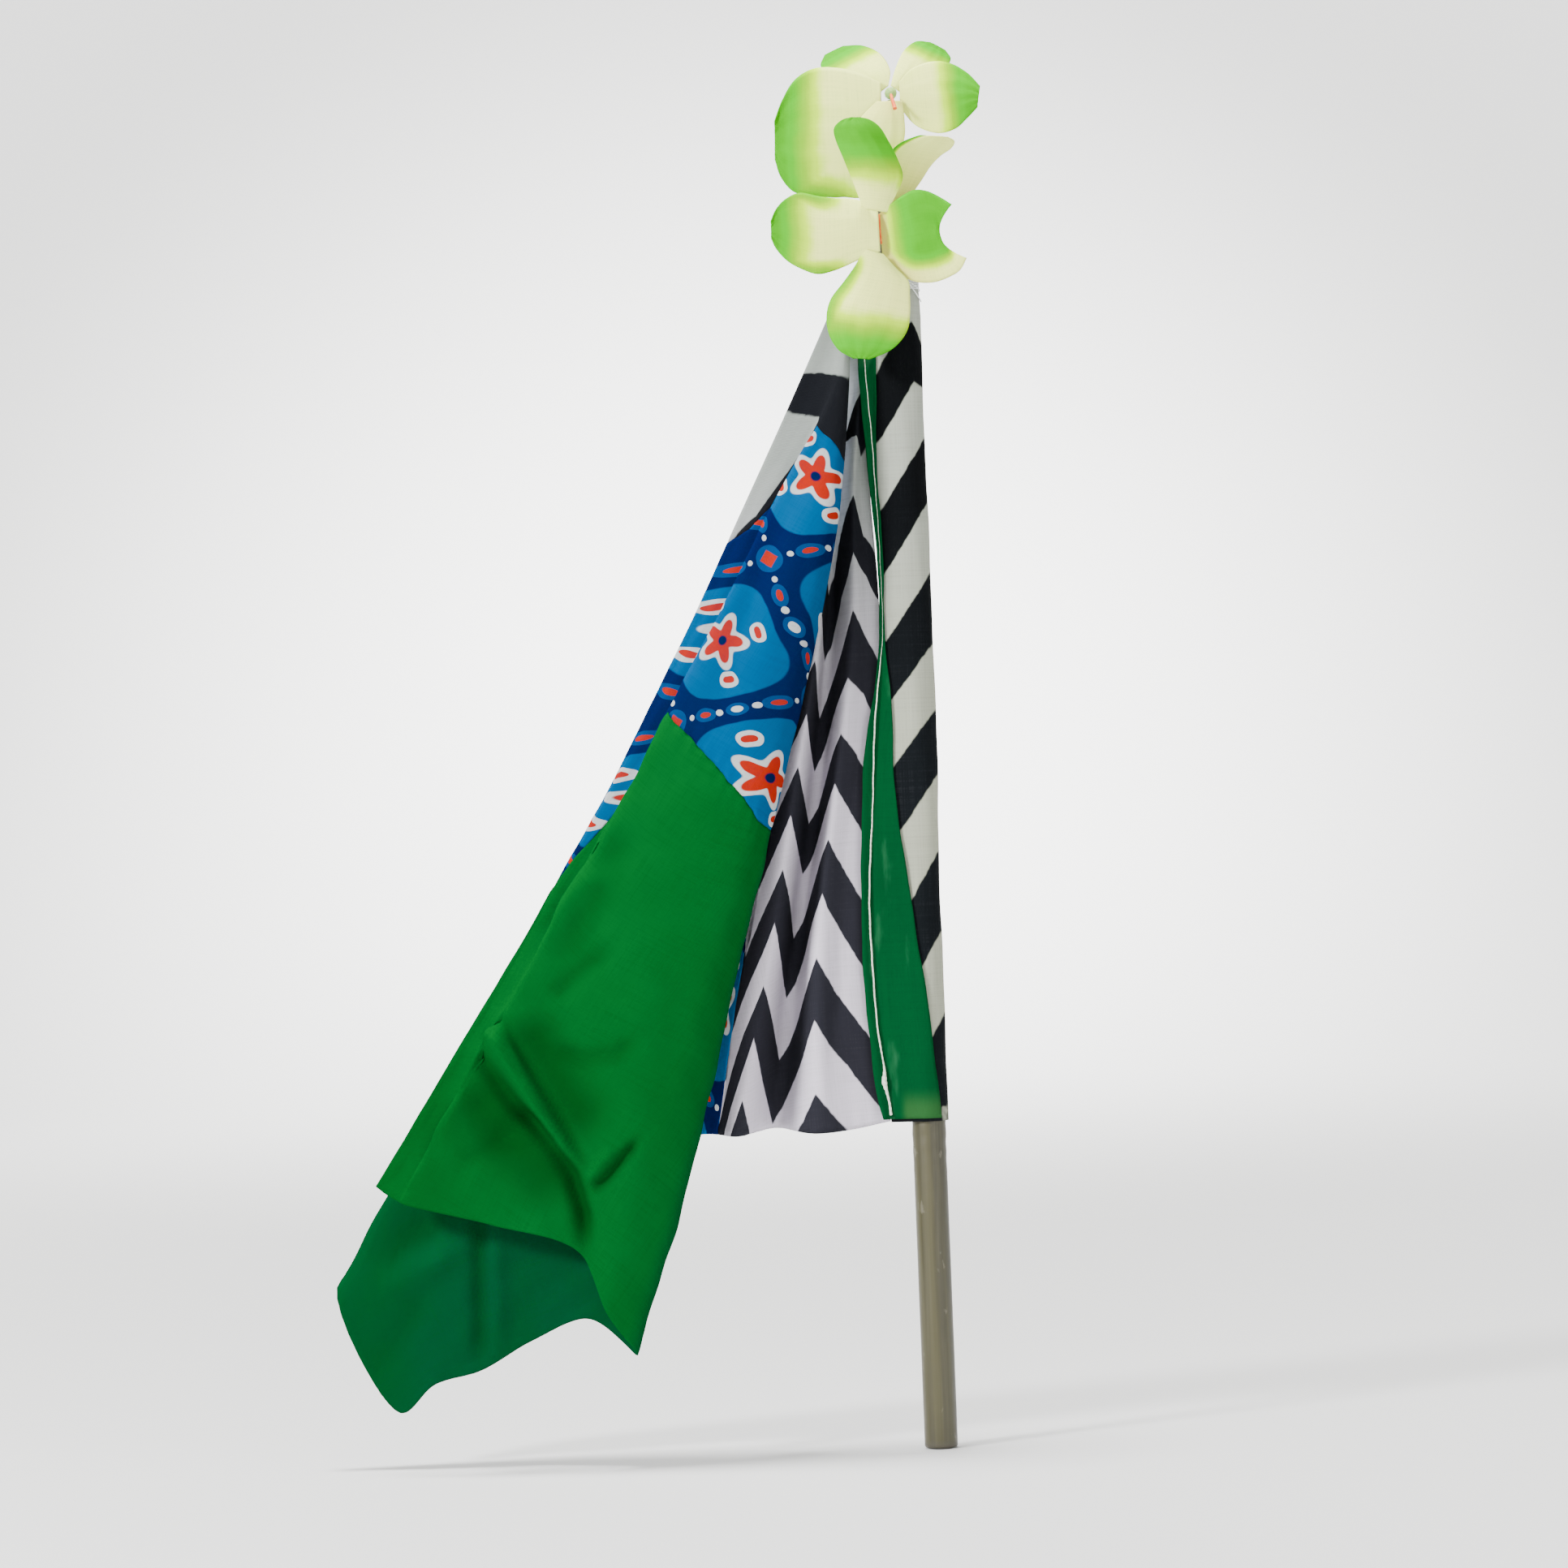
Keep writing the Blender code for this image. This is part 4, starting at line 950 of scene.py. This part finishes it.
def make_stamen(flower, route, thick_from, thick_to, nodes, material):
    radii = np.linspace(thick_from, thick_to, STAMEN_STEPS)
    stamen = tube(flower + "_stamen", spread(route, STAMEN_STEPS), radii, 12, material)
    place_pieces(stamen, nodes)


def make_flowers(looks):
    """The two cloth flowers. The petals of each meet over its heart."""
    for petal in PETALS:
        make_petal(petal, looks["petal"])
    make_stamen(
        "lower_flower",
        ((-7.4, -20.4, 577.4), (-7.2, -20.8, 573.0), (-6.9, -20.8, 568.0), (-6.5, -20.6, 563.6)),
        0.75,
        0.45,
        ["lower_flower_stamen", "lower_flower_heart"],
        looks["stamen"],
    )
    make_stamen(
        "upper_flower",
        ((0.9, -11.0, 634.0), (1.2, -14.0, 632.0), (1.8, -17.5, 629.0), (2.3, -19.5, 626.5)),
        0.6,
        1.0,
        ["upper_flower_stamen"],
        looks["stamen"],
    )
    for node in ("lower_flower_calyx", "upper_flower_calyx", "upper_flower_heart"):
        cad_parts[node].data.materials.clear()
        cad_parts[node].data.materials.append(looks["calyx"])


def make_stick(material):
    """The stick, turned fine, with the small dents and wrinkles of its wrapping."""
    foot = np.array([0.0, 0.25, 0.8])
    middle = np.linspace(STICK_BEVEL + 0.2, STICK_LENGTH - STICK_BEVEL - 0.2, 420)
    levels = np.concatenate([foot, middle, STICK_LENGTH - foot[::-1]])
    away = np.minimum(levels, STICK_LENGTH - levels)
    round_off = 1 - np.sqrt(np.clip(1 - (1 - np.clip(away / STICK_BEVEL, 0, 1)) ** 2, 0, 1))
    radius = STICK_RADIUS - STICK_BEVEL * round_off
    turn = np.arange(STICK_SIDES) / STICK_SIDES * 2 * math.pi
    height = levels[:, None]
    creased = smooth(118, 150, height) * smooth(-175, -158, -height)
    wrap = 0.10 * np.sin(turn * 3 + height / 14) * np.sin(height / 9) * (0.25 + creased)
    wrap += 0.22 * np.sin(turn * 2 - height / 3.4 + 0.7) * np.sin(height / 2.3) * creased
    wrap += 0.05 * np.sin(turn * 5 + height / 40)
    reach = radius[:, None] - 0.2 + np.clip(wrap, -0.3, 0.2)
    points = np.stack([reach * np.cos(turn), reach * np.sin(turn), height + 0 * turn], axis=2)
    place_pieces(capped_mesh("stick", points, material, 50), ["stick"])


class Value:
    """A number or colour that a node gives. A sum with it adds a further node to its material."""

    def __init__(self, paint, socket):
        self.paint = paint
        self.socket = socket

    def __add__(self, other):
        return self.paint.math("ADD", self, other)

    def __sub__(self, other):
        return self.paint.math("SUBTRACT", self, other)

    def __rsub__(self, other):
        return self.paint.math("SUBTRACT", other, self)

    def __mul__(self, other):
        return self.paint.math("MULTIPLY", self, other)

    def __truediv__(self, other):
        return self.paint.math("DIVIDE", self, other)

    def __pow__(self, other):
        return self.paint.math("POWER", self, other)

    def __abs__(self):
        return self.paint.math("ABSOLUTE", self)

    __radd__ = __add__
    __rmul__ = __mul__


class Paint:
    """Short calls that add nodes to one material."""

    def __init__(self, name, roughness, specular, sheen=0.0):
        self.material = bpy.data.materials.new(name)
        self.material.use_nodes = True
        self.tree = self.material.node_tree
        self.inputs = self.tree.nodes["Principled BSDF"].inputs
        self.inputs["Roughness"].default_value = roughness
        self.inputs["Specular IOR Level"].default_value = specular
        self.inputs["Sheen Weight"].default_value = sheen
        self.inputs["Sheen Roughness"].default_value = 0.5

    def put(self, socket, value):
        if isinstance(value, Value):
            self.tree.links.new(value.socket, socket)
        elif isinstance(value, tuple) and len(value) == 3 and socket.type == "RGBA":
            socket.default_value = (*value, 1.0)
        else:
            socket.default_value = value

    def node(self, kind, output=0, inputs=None, **settings):
        """A new node with its settings and inputs, as the value of one output."""
        node = self.tree.nodes.new("ShaderNode" + kind)
        for setting, value in settings.items():
            setattr(node, setting, value)
        for socket, value in (inputs or {}).items():
            self.put(node.inputs[socket], value)
        return Value(self, node.outputs[output])

    def math(self, operation, first, second=0.0, clamp=False):
        return self.node("Math", inputs={0: first, 1: second}, operation=operation, use_clamp=clamp)

    def ramp(self, value, low, high):
        """0 at low and 1 at high, smooth between."""
        ends = {"Value": value, "From Min": low, "From Max": high}
        return self.node("MapRange", inputs=ends, interpolation_type="SMOOTHSTEP")

    def mix(self, share, first, second, blend="MIX"):
        inputs = {"Factor": share, 6: first, 7: second}
        return self.node("Mix", 2, inputs, data_type="RGBA", blend_type=blend)

    def fact(self, name):
        return self.node("Attribute", "Fac", attribute_name=name)

    def place(self):
        return self.node("TexCoord", "Object")

    def parts(self, vector):
        """The three parts of a vector."""
        split = self.tree.nodes.new("ShaderNodeSeparateXYZ")
        self.put(split.inputs[0], vector)
        return [Value(self, output) for output in split.outputs]

    def flat(self):
        """The flat cloth's two coordinates, in metres."""
        return self.parts(self.node("UVMap", uv_map="cloth"))[:2]

    def join(self, x, y):
        return self.node("CombineXYZ", inputs={0: x, 1: y})

    def noise(self, vector, scale, detail=2.0, stretch=(1.0, 1.0, 1.0)):
        mapped = self.node("Mapping", inputs={"Vector": vector, "Scale": stretch})
        return self.node("TexNoise", "Fac", {"Vector": mapped, "Scale": scale, "Detail": detail})

    def weave(self, pitch):
        """A plain weave: warp over weft and weft over warp in turn, 0 in its holes and 1 on its threads."""
        across, down = (self.math("SINE", part * (2 * math.pi / pitch)) for part in self.flat())
        return across * down * 0.5 + 0.5

    def threads(self, scale):
        """Long faint streaks, where single threads are thicker or darker."""
        vector = self.join(*self.flat())
        along = self.noise(vector, scale, 1.0, (1.0, 0.02, 1.0))
        across = self.noise(vector, scale, 1.0, (0.02, 1.0, 1.0))
        return (along + across) * 0.5

    def stain(self, colour, tint, value, low, high, most, blend="MIX"):
        """The colour mixed with a tint, by at most a share, where the value passes from low to high."""
        return self.mix(self.ramp(value, low, high) * most, colour, tint, blend)

    def finish(self, colour, *bumps):
        """Sets the colour and lays the bumps over each other, each as its height, distance and strength."""
        self.put(self.inputs["Base Color"], colour)
        under = {}
        for height, distance, strength in bumps:
            inputs = {"Height": height, "Distance": distance, "Strength": strength, **under}
            under = {"Normal": self.node("Bump", inputs=inputs)}
        self.put(self.inputs["Normal"], under["Normal"])
        return self.material


def grey(share):
    return (share, share, share)


def banded_look(name, white, shaded_upper_white, pleat_white, black):
    """Cloth with black bands on white, or white worn thin over black threads, with painted shade towards its
    top and painted light on its pleats in the front fold's shadow.
    """
    paint = Paint(name, 0.95, 0.05)
    place = paint.place()
    weave = paint.weave(WEAVE_PITCH)
    threads = paint.threads(1400.0)
    phase = paint.fact("phase") + (paint.noise(place, 260.0, 1.0) * 0.03 - 0.015)
    turn = paint.math("FRACT", phase)
    near = paint.math("MINIMUM", abs(turn - 0.25), abs(turn - 1.25))
    dark = 1 - paint.ramp(near, 0.238, 0.262)
    # Painted shade: the whites and blacks are made darker towards the top.
    upper = paint.ramp(paint.parts(place)[2], 0.30, 0.47)
    white_painted_light_and_wear = paint.mix(upper, white, shaded_upper_white)
    # Painted light: lighter whites on the pleats that the front fold shades.
    white_painted_light_and_wear = paint.mix(paint.fact("pleat"), white_painted_light_and_wear, pleat_white)
    white_painted_light_and_wear = paint.mix(paint.noise(place, 22.0, 3.0) * 0.30, white_painted_light_and_wear, grey(0.86), "MULTIPLY")
    white_painted_light_and_wear = paint.stain(white_painted_light_and_wear, grey(0.88), threads, 0.42, 0.70, 1.0, "MULTIPLY")
    lint = paint.ramp(threads, 0.50, 0.72) * (weave * 0.6 + 0.2)
    black_painted_shade_and_lint = paint.mix(lint * 0.10, black, (0.10, 0.10, 0.115))
    black_painted_shade_and_lint = paint.mix(upper, black_painted_shade_and_lint, (0.19, 0.23, 0.23), "MULTIPLY")
    colour = paint.mix(dark, white_painted_light_and_wear, black_painted_shade_and_lint)
    colour = paint.mix((1 - weave) * 0.16, colour, (0.02, 0.02, 0.025))
    swell = paint.noise(place, 130.0)
    return paint.finish(colour, (swell, 0.00025, 0.35), (weave, 0.00012, 0.5), (threads, 0.0001, 0.5))


def plain_look(name, front, inner, dark, pale_foot=False):
    """Plain dyed cotton, a little darker and bluer on its inner layer, with painted shade in its creases and
    towards its left and lower part.
    """
    paint = Paint(name, 1.0, 0.0)
    place = paint.place()
    weave = paint.weave(WEAVE_PITCH)
    threads = paint.threads(1500.0)
    x, _, z = paint.parts(place)
    colour = paint.mix(paint.fact("inner"), front, inner)
    # Painted shade in the bottoms of the creases.
    colour = paint.mix(paint.fact("groove") * 0.75, colour, tuple(0.55 * part for part in dark))
    # Painted shade: darker towards the left and the lower part.
    left = 1 - paint.ramp(x + z * -0.35, -0.305, -0.215)
    colour = paint.mix(left * 0.42, colour, dark)
    colour = paint.stain(colour, dark, paint.noise(place, 14.0, 3.0), 0.35, 0.75, 0.35)
    colour = paint.stain(colour, dark, threads, 0.45, 0.7, 0.30)
    colour = paint.mix((1 - weave) * 0.25, colour, dark)
    if pale_foot:
        patch = (1 - paint.ramp(z, 0.158, 0.171)) * paint.ramp(x, -0.014, -0.009)
        colour = paint.mix(patch * 0.40, colour, (0.04, 0.13, 0.035))
        chalk = paint.noise(place, 90.0, 4.0, (1.0, 1.0, 0.25))
        colour = paint.stain(colour, (0.03, 0.13, 0.06), chalk, 0.60, 0.72, 0.35)
    swell = paint.noise(place, 110.0, 3.0)
    return paint.finish(colour, (swell, 0.0004, 0.35), (weave, 0.00013, 0.5), (threads, 0.0001, 0.4))


def print_look():
    """A blue cotton print of its own design: round-cornered panes with a small flower, in a navy trellis."""
    paint = Paint("print_cloth", 1.0, 0.0)
    u, v = paint.flat()
    place = paint.place()
    weave = paint.weave(PRINT_PITCH)
    threads = paint.threads(1500.0)
    u = u + (paint.noise(paint.join(u, v), 60.0) * 0.0028 - 0.0014)
    across = u / PRINT_REPEAT_ACROSS + 1.0
    down = (v - PRINT_START_DOWN) / PRINT_REPEAT_DOWN
    a = paint.math("FRACT", (across + down) * 0.5) - 0.5
    b = paint.math("FRACT", (across - down) * 0.5) - 0.5
    far_a = abs(a)
    far_b = abs(b)
    near_a = 0.5 - far_a
    near_b = 0.5 - far_b

    def inside(value, limit):
        return 1 - paint.ramp(value, limit - 0.006, limit + 0.006)

    def oval(x, y, wide, high):
        x = x / wide
        y = y / high
        return paint.math("SQRT", x * x + y * y)

    pane = (far_a**3.0 + far_b**3.0) ** (1 / 3)
    radius = paint.math("SQRT", a * a + b * b)
    turn = paint.math("ARCTAN2", b, a)
    bloom = radius - (paint.math("COSINE", turn * 5.0) * 0.045 + 0.125)
    sprig = oval(radius - 0.285, 1 - paint.math("COSINE", turn * 4.0), 0.055, 0.42)
    colour = paint.mix(inside(pane, 0.405), PRINT_NAVY, PRINT_BLUE)
    for value, limit, tint in (
        (sprig, 1.0, PRINT_WHITE),
        (sprig, 0.42, PRINT_ORANGE),
        (bloom, 0.050, PRINT_WHITE),
        (bloom, 0.0, PRINT_ORANGE),
        (radius, 0.035, PRINT_NAVY),
    ):
        colour = paint.mix(inside(value, limit), colour, tint)
    for x, y in ((near_a, far_b), (near_b, far_a)):
        for along, wide, high, tint in (
            (0.225, 0.050, 0.080, PRINT_MIDDLE),
            (0.225, 0.020, 0.040, PRINT_ORANGE),
            (0.120, 0.022, 0.026, PRINT_WHITE),
            (0.0, 0.046, 0.074, PRINT_MIDDLE),
            (0.0, 0.024, 0.040, PRINT_WHITE),
            (0.340, 0.020, 0.022, PRINT_WHITE),
        ):
            colour = paint.mix(inside(oval(x, y - along, wide, high), 1.0), colour, tint)
    colour = paint.mix(inside(oval(near_a, near_b, 0.105, 0.105), 1.0), colour, PRINT_MIDDLE)
    colour = paint.mix(inside(near_a + near_b, 0.072), colour, PRINT_ORANGE)
    # Painted light: far down the cloth the print is made lighter, for the strip that the front fold shades.
    colour = paint.mix(paint.ramp(v, 0.225, 0.265), colour, paint.mix(1.0, colour, grey(2.4), "MULTIPLY"))
    colour = paint.stain(colour, (0.001, 0.02, 0.05), paint.noise(place, 16.0, 3.0), 0.35, 0.75, 0.18)
    colour = paint.stain(colour, (0.002, 0.02, 0.05), threads, 0.45, 0.7, 0.16)
    colour = paint.mix((1 - weave) * 0.2, colour, (0.001, 0.01, 0.03))
    return paint.finish(colour, (paint.noise(place, 110.0, 3.0), 0.0003, 0.35), (weave, 0.00012, 0.5))


def petal_look():
    """Fine white cloth dyed yellow-green towards the edges."""
    paint = Paint("petal_cloth", 0.95, 0.03)
    place = paint.place()
    drift = paint.noise(place, 70.0, 3.0) * 0.30 - 0.15
    lime = paint.math("ADD", paint.fact("lime"), drift, clamp=True)
    # Painted shade: tan towards the petals' feet, where they fold into the heart.
    colour = paint.mix(paint.fact("tan") * 0.7, PETAL_CREAM, PETAL_FOOT_SHADE)
    for low, high, tint in (
        (0.02, 0.26, PETAL_PALE),
        (0.18, 0.50, PETAL_YELLOW),
        (0.38, 0.85, PETAL_LIME),
        (0.88, 1.10, PETAL_DEEP),
    ):
        colour = paint.mix(paint.ramp(lime, low, high), colour, tint)
    weave = paint.weave(PETAL_PITCH)
    colour = paint.mix((1 - weave) * 0.10, colour, (0.30, 0.40, 0.30), "MULTIPLY")
    colour = paint.stain(colour, (0.6, 0.7, 0.6), paint.threads(1300.0), 0.45, 0.7, 0.30, "MULTIPLY")
    return paint.finish(colour, (paint.noise(place, 120.0), 0.0003, 0.3), (weave, 0.0001, 0.5))


def stick_look():
    """Grey-olive wrapped stick, satin, with long streaks, a few scuffs and a darker foot."""
    paint = Paint("stick_wrap", 0.42, 0.45)
    place = paint.place()
    streaks = paint.noise(place, 160.0, 3.0, (1.0, 1.0, 0.015))
    fine = paint.noise(place, 900.0, 2.0, (1.0, 1.0, 0.03))
    blotch = paint.noise(place, 28.0, 3.0, (1.0, 1.0, 0.5))
    scuffs = paint.noise(place, 210.0, 4.0, (1.0, 1.0, 0.4))
    grain = paint.noise(place, 420.0, 3.0, (1.0, 1.0, 0.25))
    colour = paint.mix(paint.ramp(streaks, 0.38, 0.64), (0.047, 0.042, 0.0145), (0.024, 0.0215, 0.0085))
    colour = paint.stain(colour, (0.062, 0.055, 0.024), fine, 0.4, 0.7, 0.35)
    colour = paint.stain(colour, (0.033, 0.030, 0.015), blotch, 0.45, 0.7, 0.4)
    colour = paint.stain(colour, (0.15, 0.14, 0.10), scuffs, 0.66, 0.74, 0.5)
    foot = paint.ramp(paint.parts(place)[2], 0.0, 0.005)
    colour = paint.mix(foot * -0.6 + 0.6, colour, (0.05, 0.045, 0.035))
    paint.put(paint.inputs["Roughness"], paint.ramp(blotch, 0.3, 0.7) * 0.18 + 0.32)
    return paint.finish(colour, (streaks, 0.0003, 0.4), (grain, 0.0002, 0.25))


def strand_look(name, light, dark, pitch, rough):
    """A twisted cord or thread: slanting strands along its length."""
    paint = Paint(name, rough, 0.2, sheen=0.05)
    place = paint.place()
    x, y, z = paint.parts(place)
    run = (z + (x * 0.7 + y * 0.5)) / pitch
    strand = paint.math("SINE", run * (2 * math.pi)) * 0.5 + 0.5
    fibre = paint.noise(place, 1500.0)
    colour = paint.mix(strand * 0.7, dark, light)
    colour = paint.mix(fibre * 0.3, colour, light)
    return paint.finish(colour, (strand, 0.0002, 0.8), (fibre, 0.00005, 0.5))


def small_look(name, light, dark, rough):
    """A small moulded piece, mottled."""
    paint = Paint(name, rough, 0.3)
    place = paint.place()
    colour = paint.mix(paint.ramp(paint.noise(place, 380.0, 3.0), 0.35, 0.65), light, dark)
    return paint.finish(colour, (paint.noise(place, 900.0), 0.0001, 0.5))


def make_looks():
    return {
        # The chevron's upper white is painted shade, and its pleat white is painted light.
        "chevron": banded_look(
            "chevron_cloth",
            white=(0.60, 0.555, 0.64),
            shaded_upper_white=(0.20, 0.22, 0.205),
            pleat_white=(0.62, 0.66, 0.72),
            black=(0.016, 0.016, 0.022),
        ),
        "sleeve": banded_look(
            "sleeve_cloth",
            white=(0.33, 0.345, 0.27),
            shaded_upper_white=(0.32, 0.34, 0.29),
            pleat_white=(0.33, 0.35, 0.30),
            black=(0.003, 0.0045, 0.0055),
        ),
        "facing": plain_look(
            "facing_cloth", (0.001, 0.052, 0.014), (0.001, 0.045, 0.012), (0.001, 0.03, 0.01), pale_foot=True
        ),
        "plain": plain_look(
            "plain_cloth", (0.0002, 0.074, 0.013), (0.0005, 0.036, 0.0155), (0.0002, 0.042, 0.005)
        ),
        "print": print_look(),
        "petal": petal_look(),
        "stick": stick_look(),
        "cord": strand_look("cord_cotton", (0.80, 0.82, 0.72), (0.52, 0.58, 0.46), 0.0024, 0.85),
        "thread": strand_look("thread_cotton", (0.86, 0.87, 0.86), (0.60, 0.62, 0.62), 0.0012, 0.5),
        "calyx": small_look("calyx_green", (0.30, 0.45, 0.12), (0.18, 0.32, 0.07), 0.6),
        "stamen": small_look("stamen_orange", (0.80, 0.16, 0.03), (0.60, 0.07, 0.01), 0.6),
    }


def make_camera():
    """A long lens, level, rolled by the lean that the stick has in the photo."""
    lens = bpy.data.cameras.new("view")
    lens.lens = CAMERA_LENS
    lens.sensor_width = CAMERA_SENSOR
    lens.clip_end = 100
    camera = link("view", lens)
    roll = math.radians(STICK_LEAN)
    right = Vector((math.cos(roll), 0, -math.sin(roll)))
    up = Vector((math.sin(roll), 0, math.cos(roll)))
    back = Vector((0, -1, 0))
    turn = Matrix((right, up, back)).transposed()
    distance = VIEW_WIDTH * MM * CAMERA_LENS / CAMERA_SENSOR
    place = Vector((VIEW_CENTRE[0] * MM, -distance, VIEW_CENTRE[1] * MM))
    camera.matrix_world = Matrix.Translation(place) @ turn.to_4x4()
    bpy.context.scene.camera = camera


def make_light(light):
    lamp = bpy.data.lights.new(light.name, "AREA")
    lamp.shape = "DISK"
    lamp.size = light.size
    lamp.energy = light.power
    lamp = link(light.name, lamp)
    place = Vector(light.place)
    turn = (Vector(LIGHT_AIM) - place).to_track_quat("-Z", "Y").to_matrix().to_4x4()
    lamp.matrix_world = Matrix.Translation(place) @ turn
    lamp.visible_camera = False


def paper_look():
    """The studio's matt pale paper, with its glow and the halo behind the flag."""
    paint = Paint("studio_paper", 0.95, 0.05)
    place = paint.place()
    grain = paint.noise(place, 300.0)
    colour = paint.mix(grain * 0.04, (0.60, 0.60, 0.592), (0.54, 0.54, 0.533))
    x, y, z = paint.parts(place)
    glow = paint.ramp(paint.math("SQRT", x * x + y * y), 0.3, 3.4) * BACKDROP_GLOW
    off_x, off_y, off_z = (part - centre for part, centre in zip((x, y, z), HALO_CENTRE))
    off_y = off_y * HALO_DEPTH
    away = paint.math("SQRT", off_x * off_x + off_y * off_y + off_z * off_z)
    halo = (1 - paint.ramp(away, 0.0, 1.35)) * HALO_GLOW
    paint.put(paint.inputs["Emission Color"], (1.0, 1.0, 0.99))
    paint.put(paint.inputs["Emission Strength"], glow + halo)
    return paint.finish(colour, (grain, 0.0001, 0.1))


def make_stage():
    """A pale floor that curves up into a wall all round, and soft lights."""
    profile = [(reach, 0.0) for reach in np.linspace(500.0, STAGE_REACH, 4)]
    for turn in np.linspace(0.1, math.pi / 2, 16):
        profile.append((STAGE_REACH + STAGE_BEND * math.sin(turn), STAGE_BEND * (1 - math.cos(turn))))
    reach, height = np.array(profile).T[..., None]
    turn = np.arange(STAGE_SIDES) / STAGE_SIDES * 2 * math.pi
    points = np.stack([reach * np.cos(turn), reach * np.sin(turn), height - STAGE_DROP + 0 * turn], axis=2)
    index, quads = ring_quads(len(profile), STAGE_SIDES)
    faces = [index[0].tolist(), *quads[:, ::-1].tolist()]
    make_mesh("studio_floor", points.reshape(-1, 3), faces, paper_look())
    world = bpy.data.worlds.new("studio")
    world.use_nodes = True
    world.node_tree.nodes["Background"].inputs["Color"].default_value = (1.0, 1.0, 1.0, 1.0)
    world.node_tree.nodes["Background"].inputs["Strength"].default_value = WORLD_LIGHT
    bpy.context.scene.world = world
    for light in LIGHTS:
        make_light(light)


def main():
    make_camera()
    looks = make_looks()
    make_stick(looks["stick"])
    make_sleeve(looks["sleeve"])
    for panel in PANELS:
        cloth_panel(panel, looks[panel.kind])
    make_facing(looks["facing"])
    make_facing_cord(looks["cord"])
    make_threads(looks["thread"])
    make_flowers(looks)
    make_stage()
    bpy.context.view_layer.update()


main()
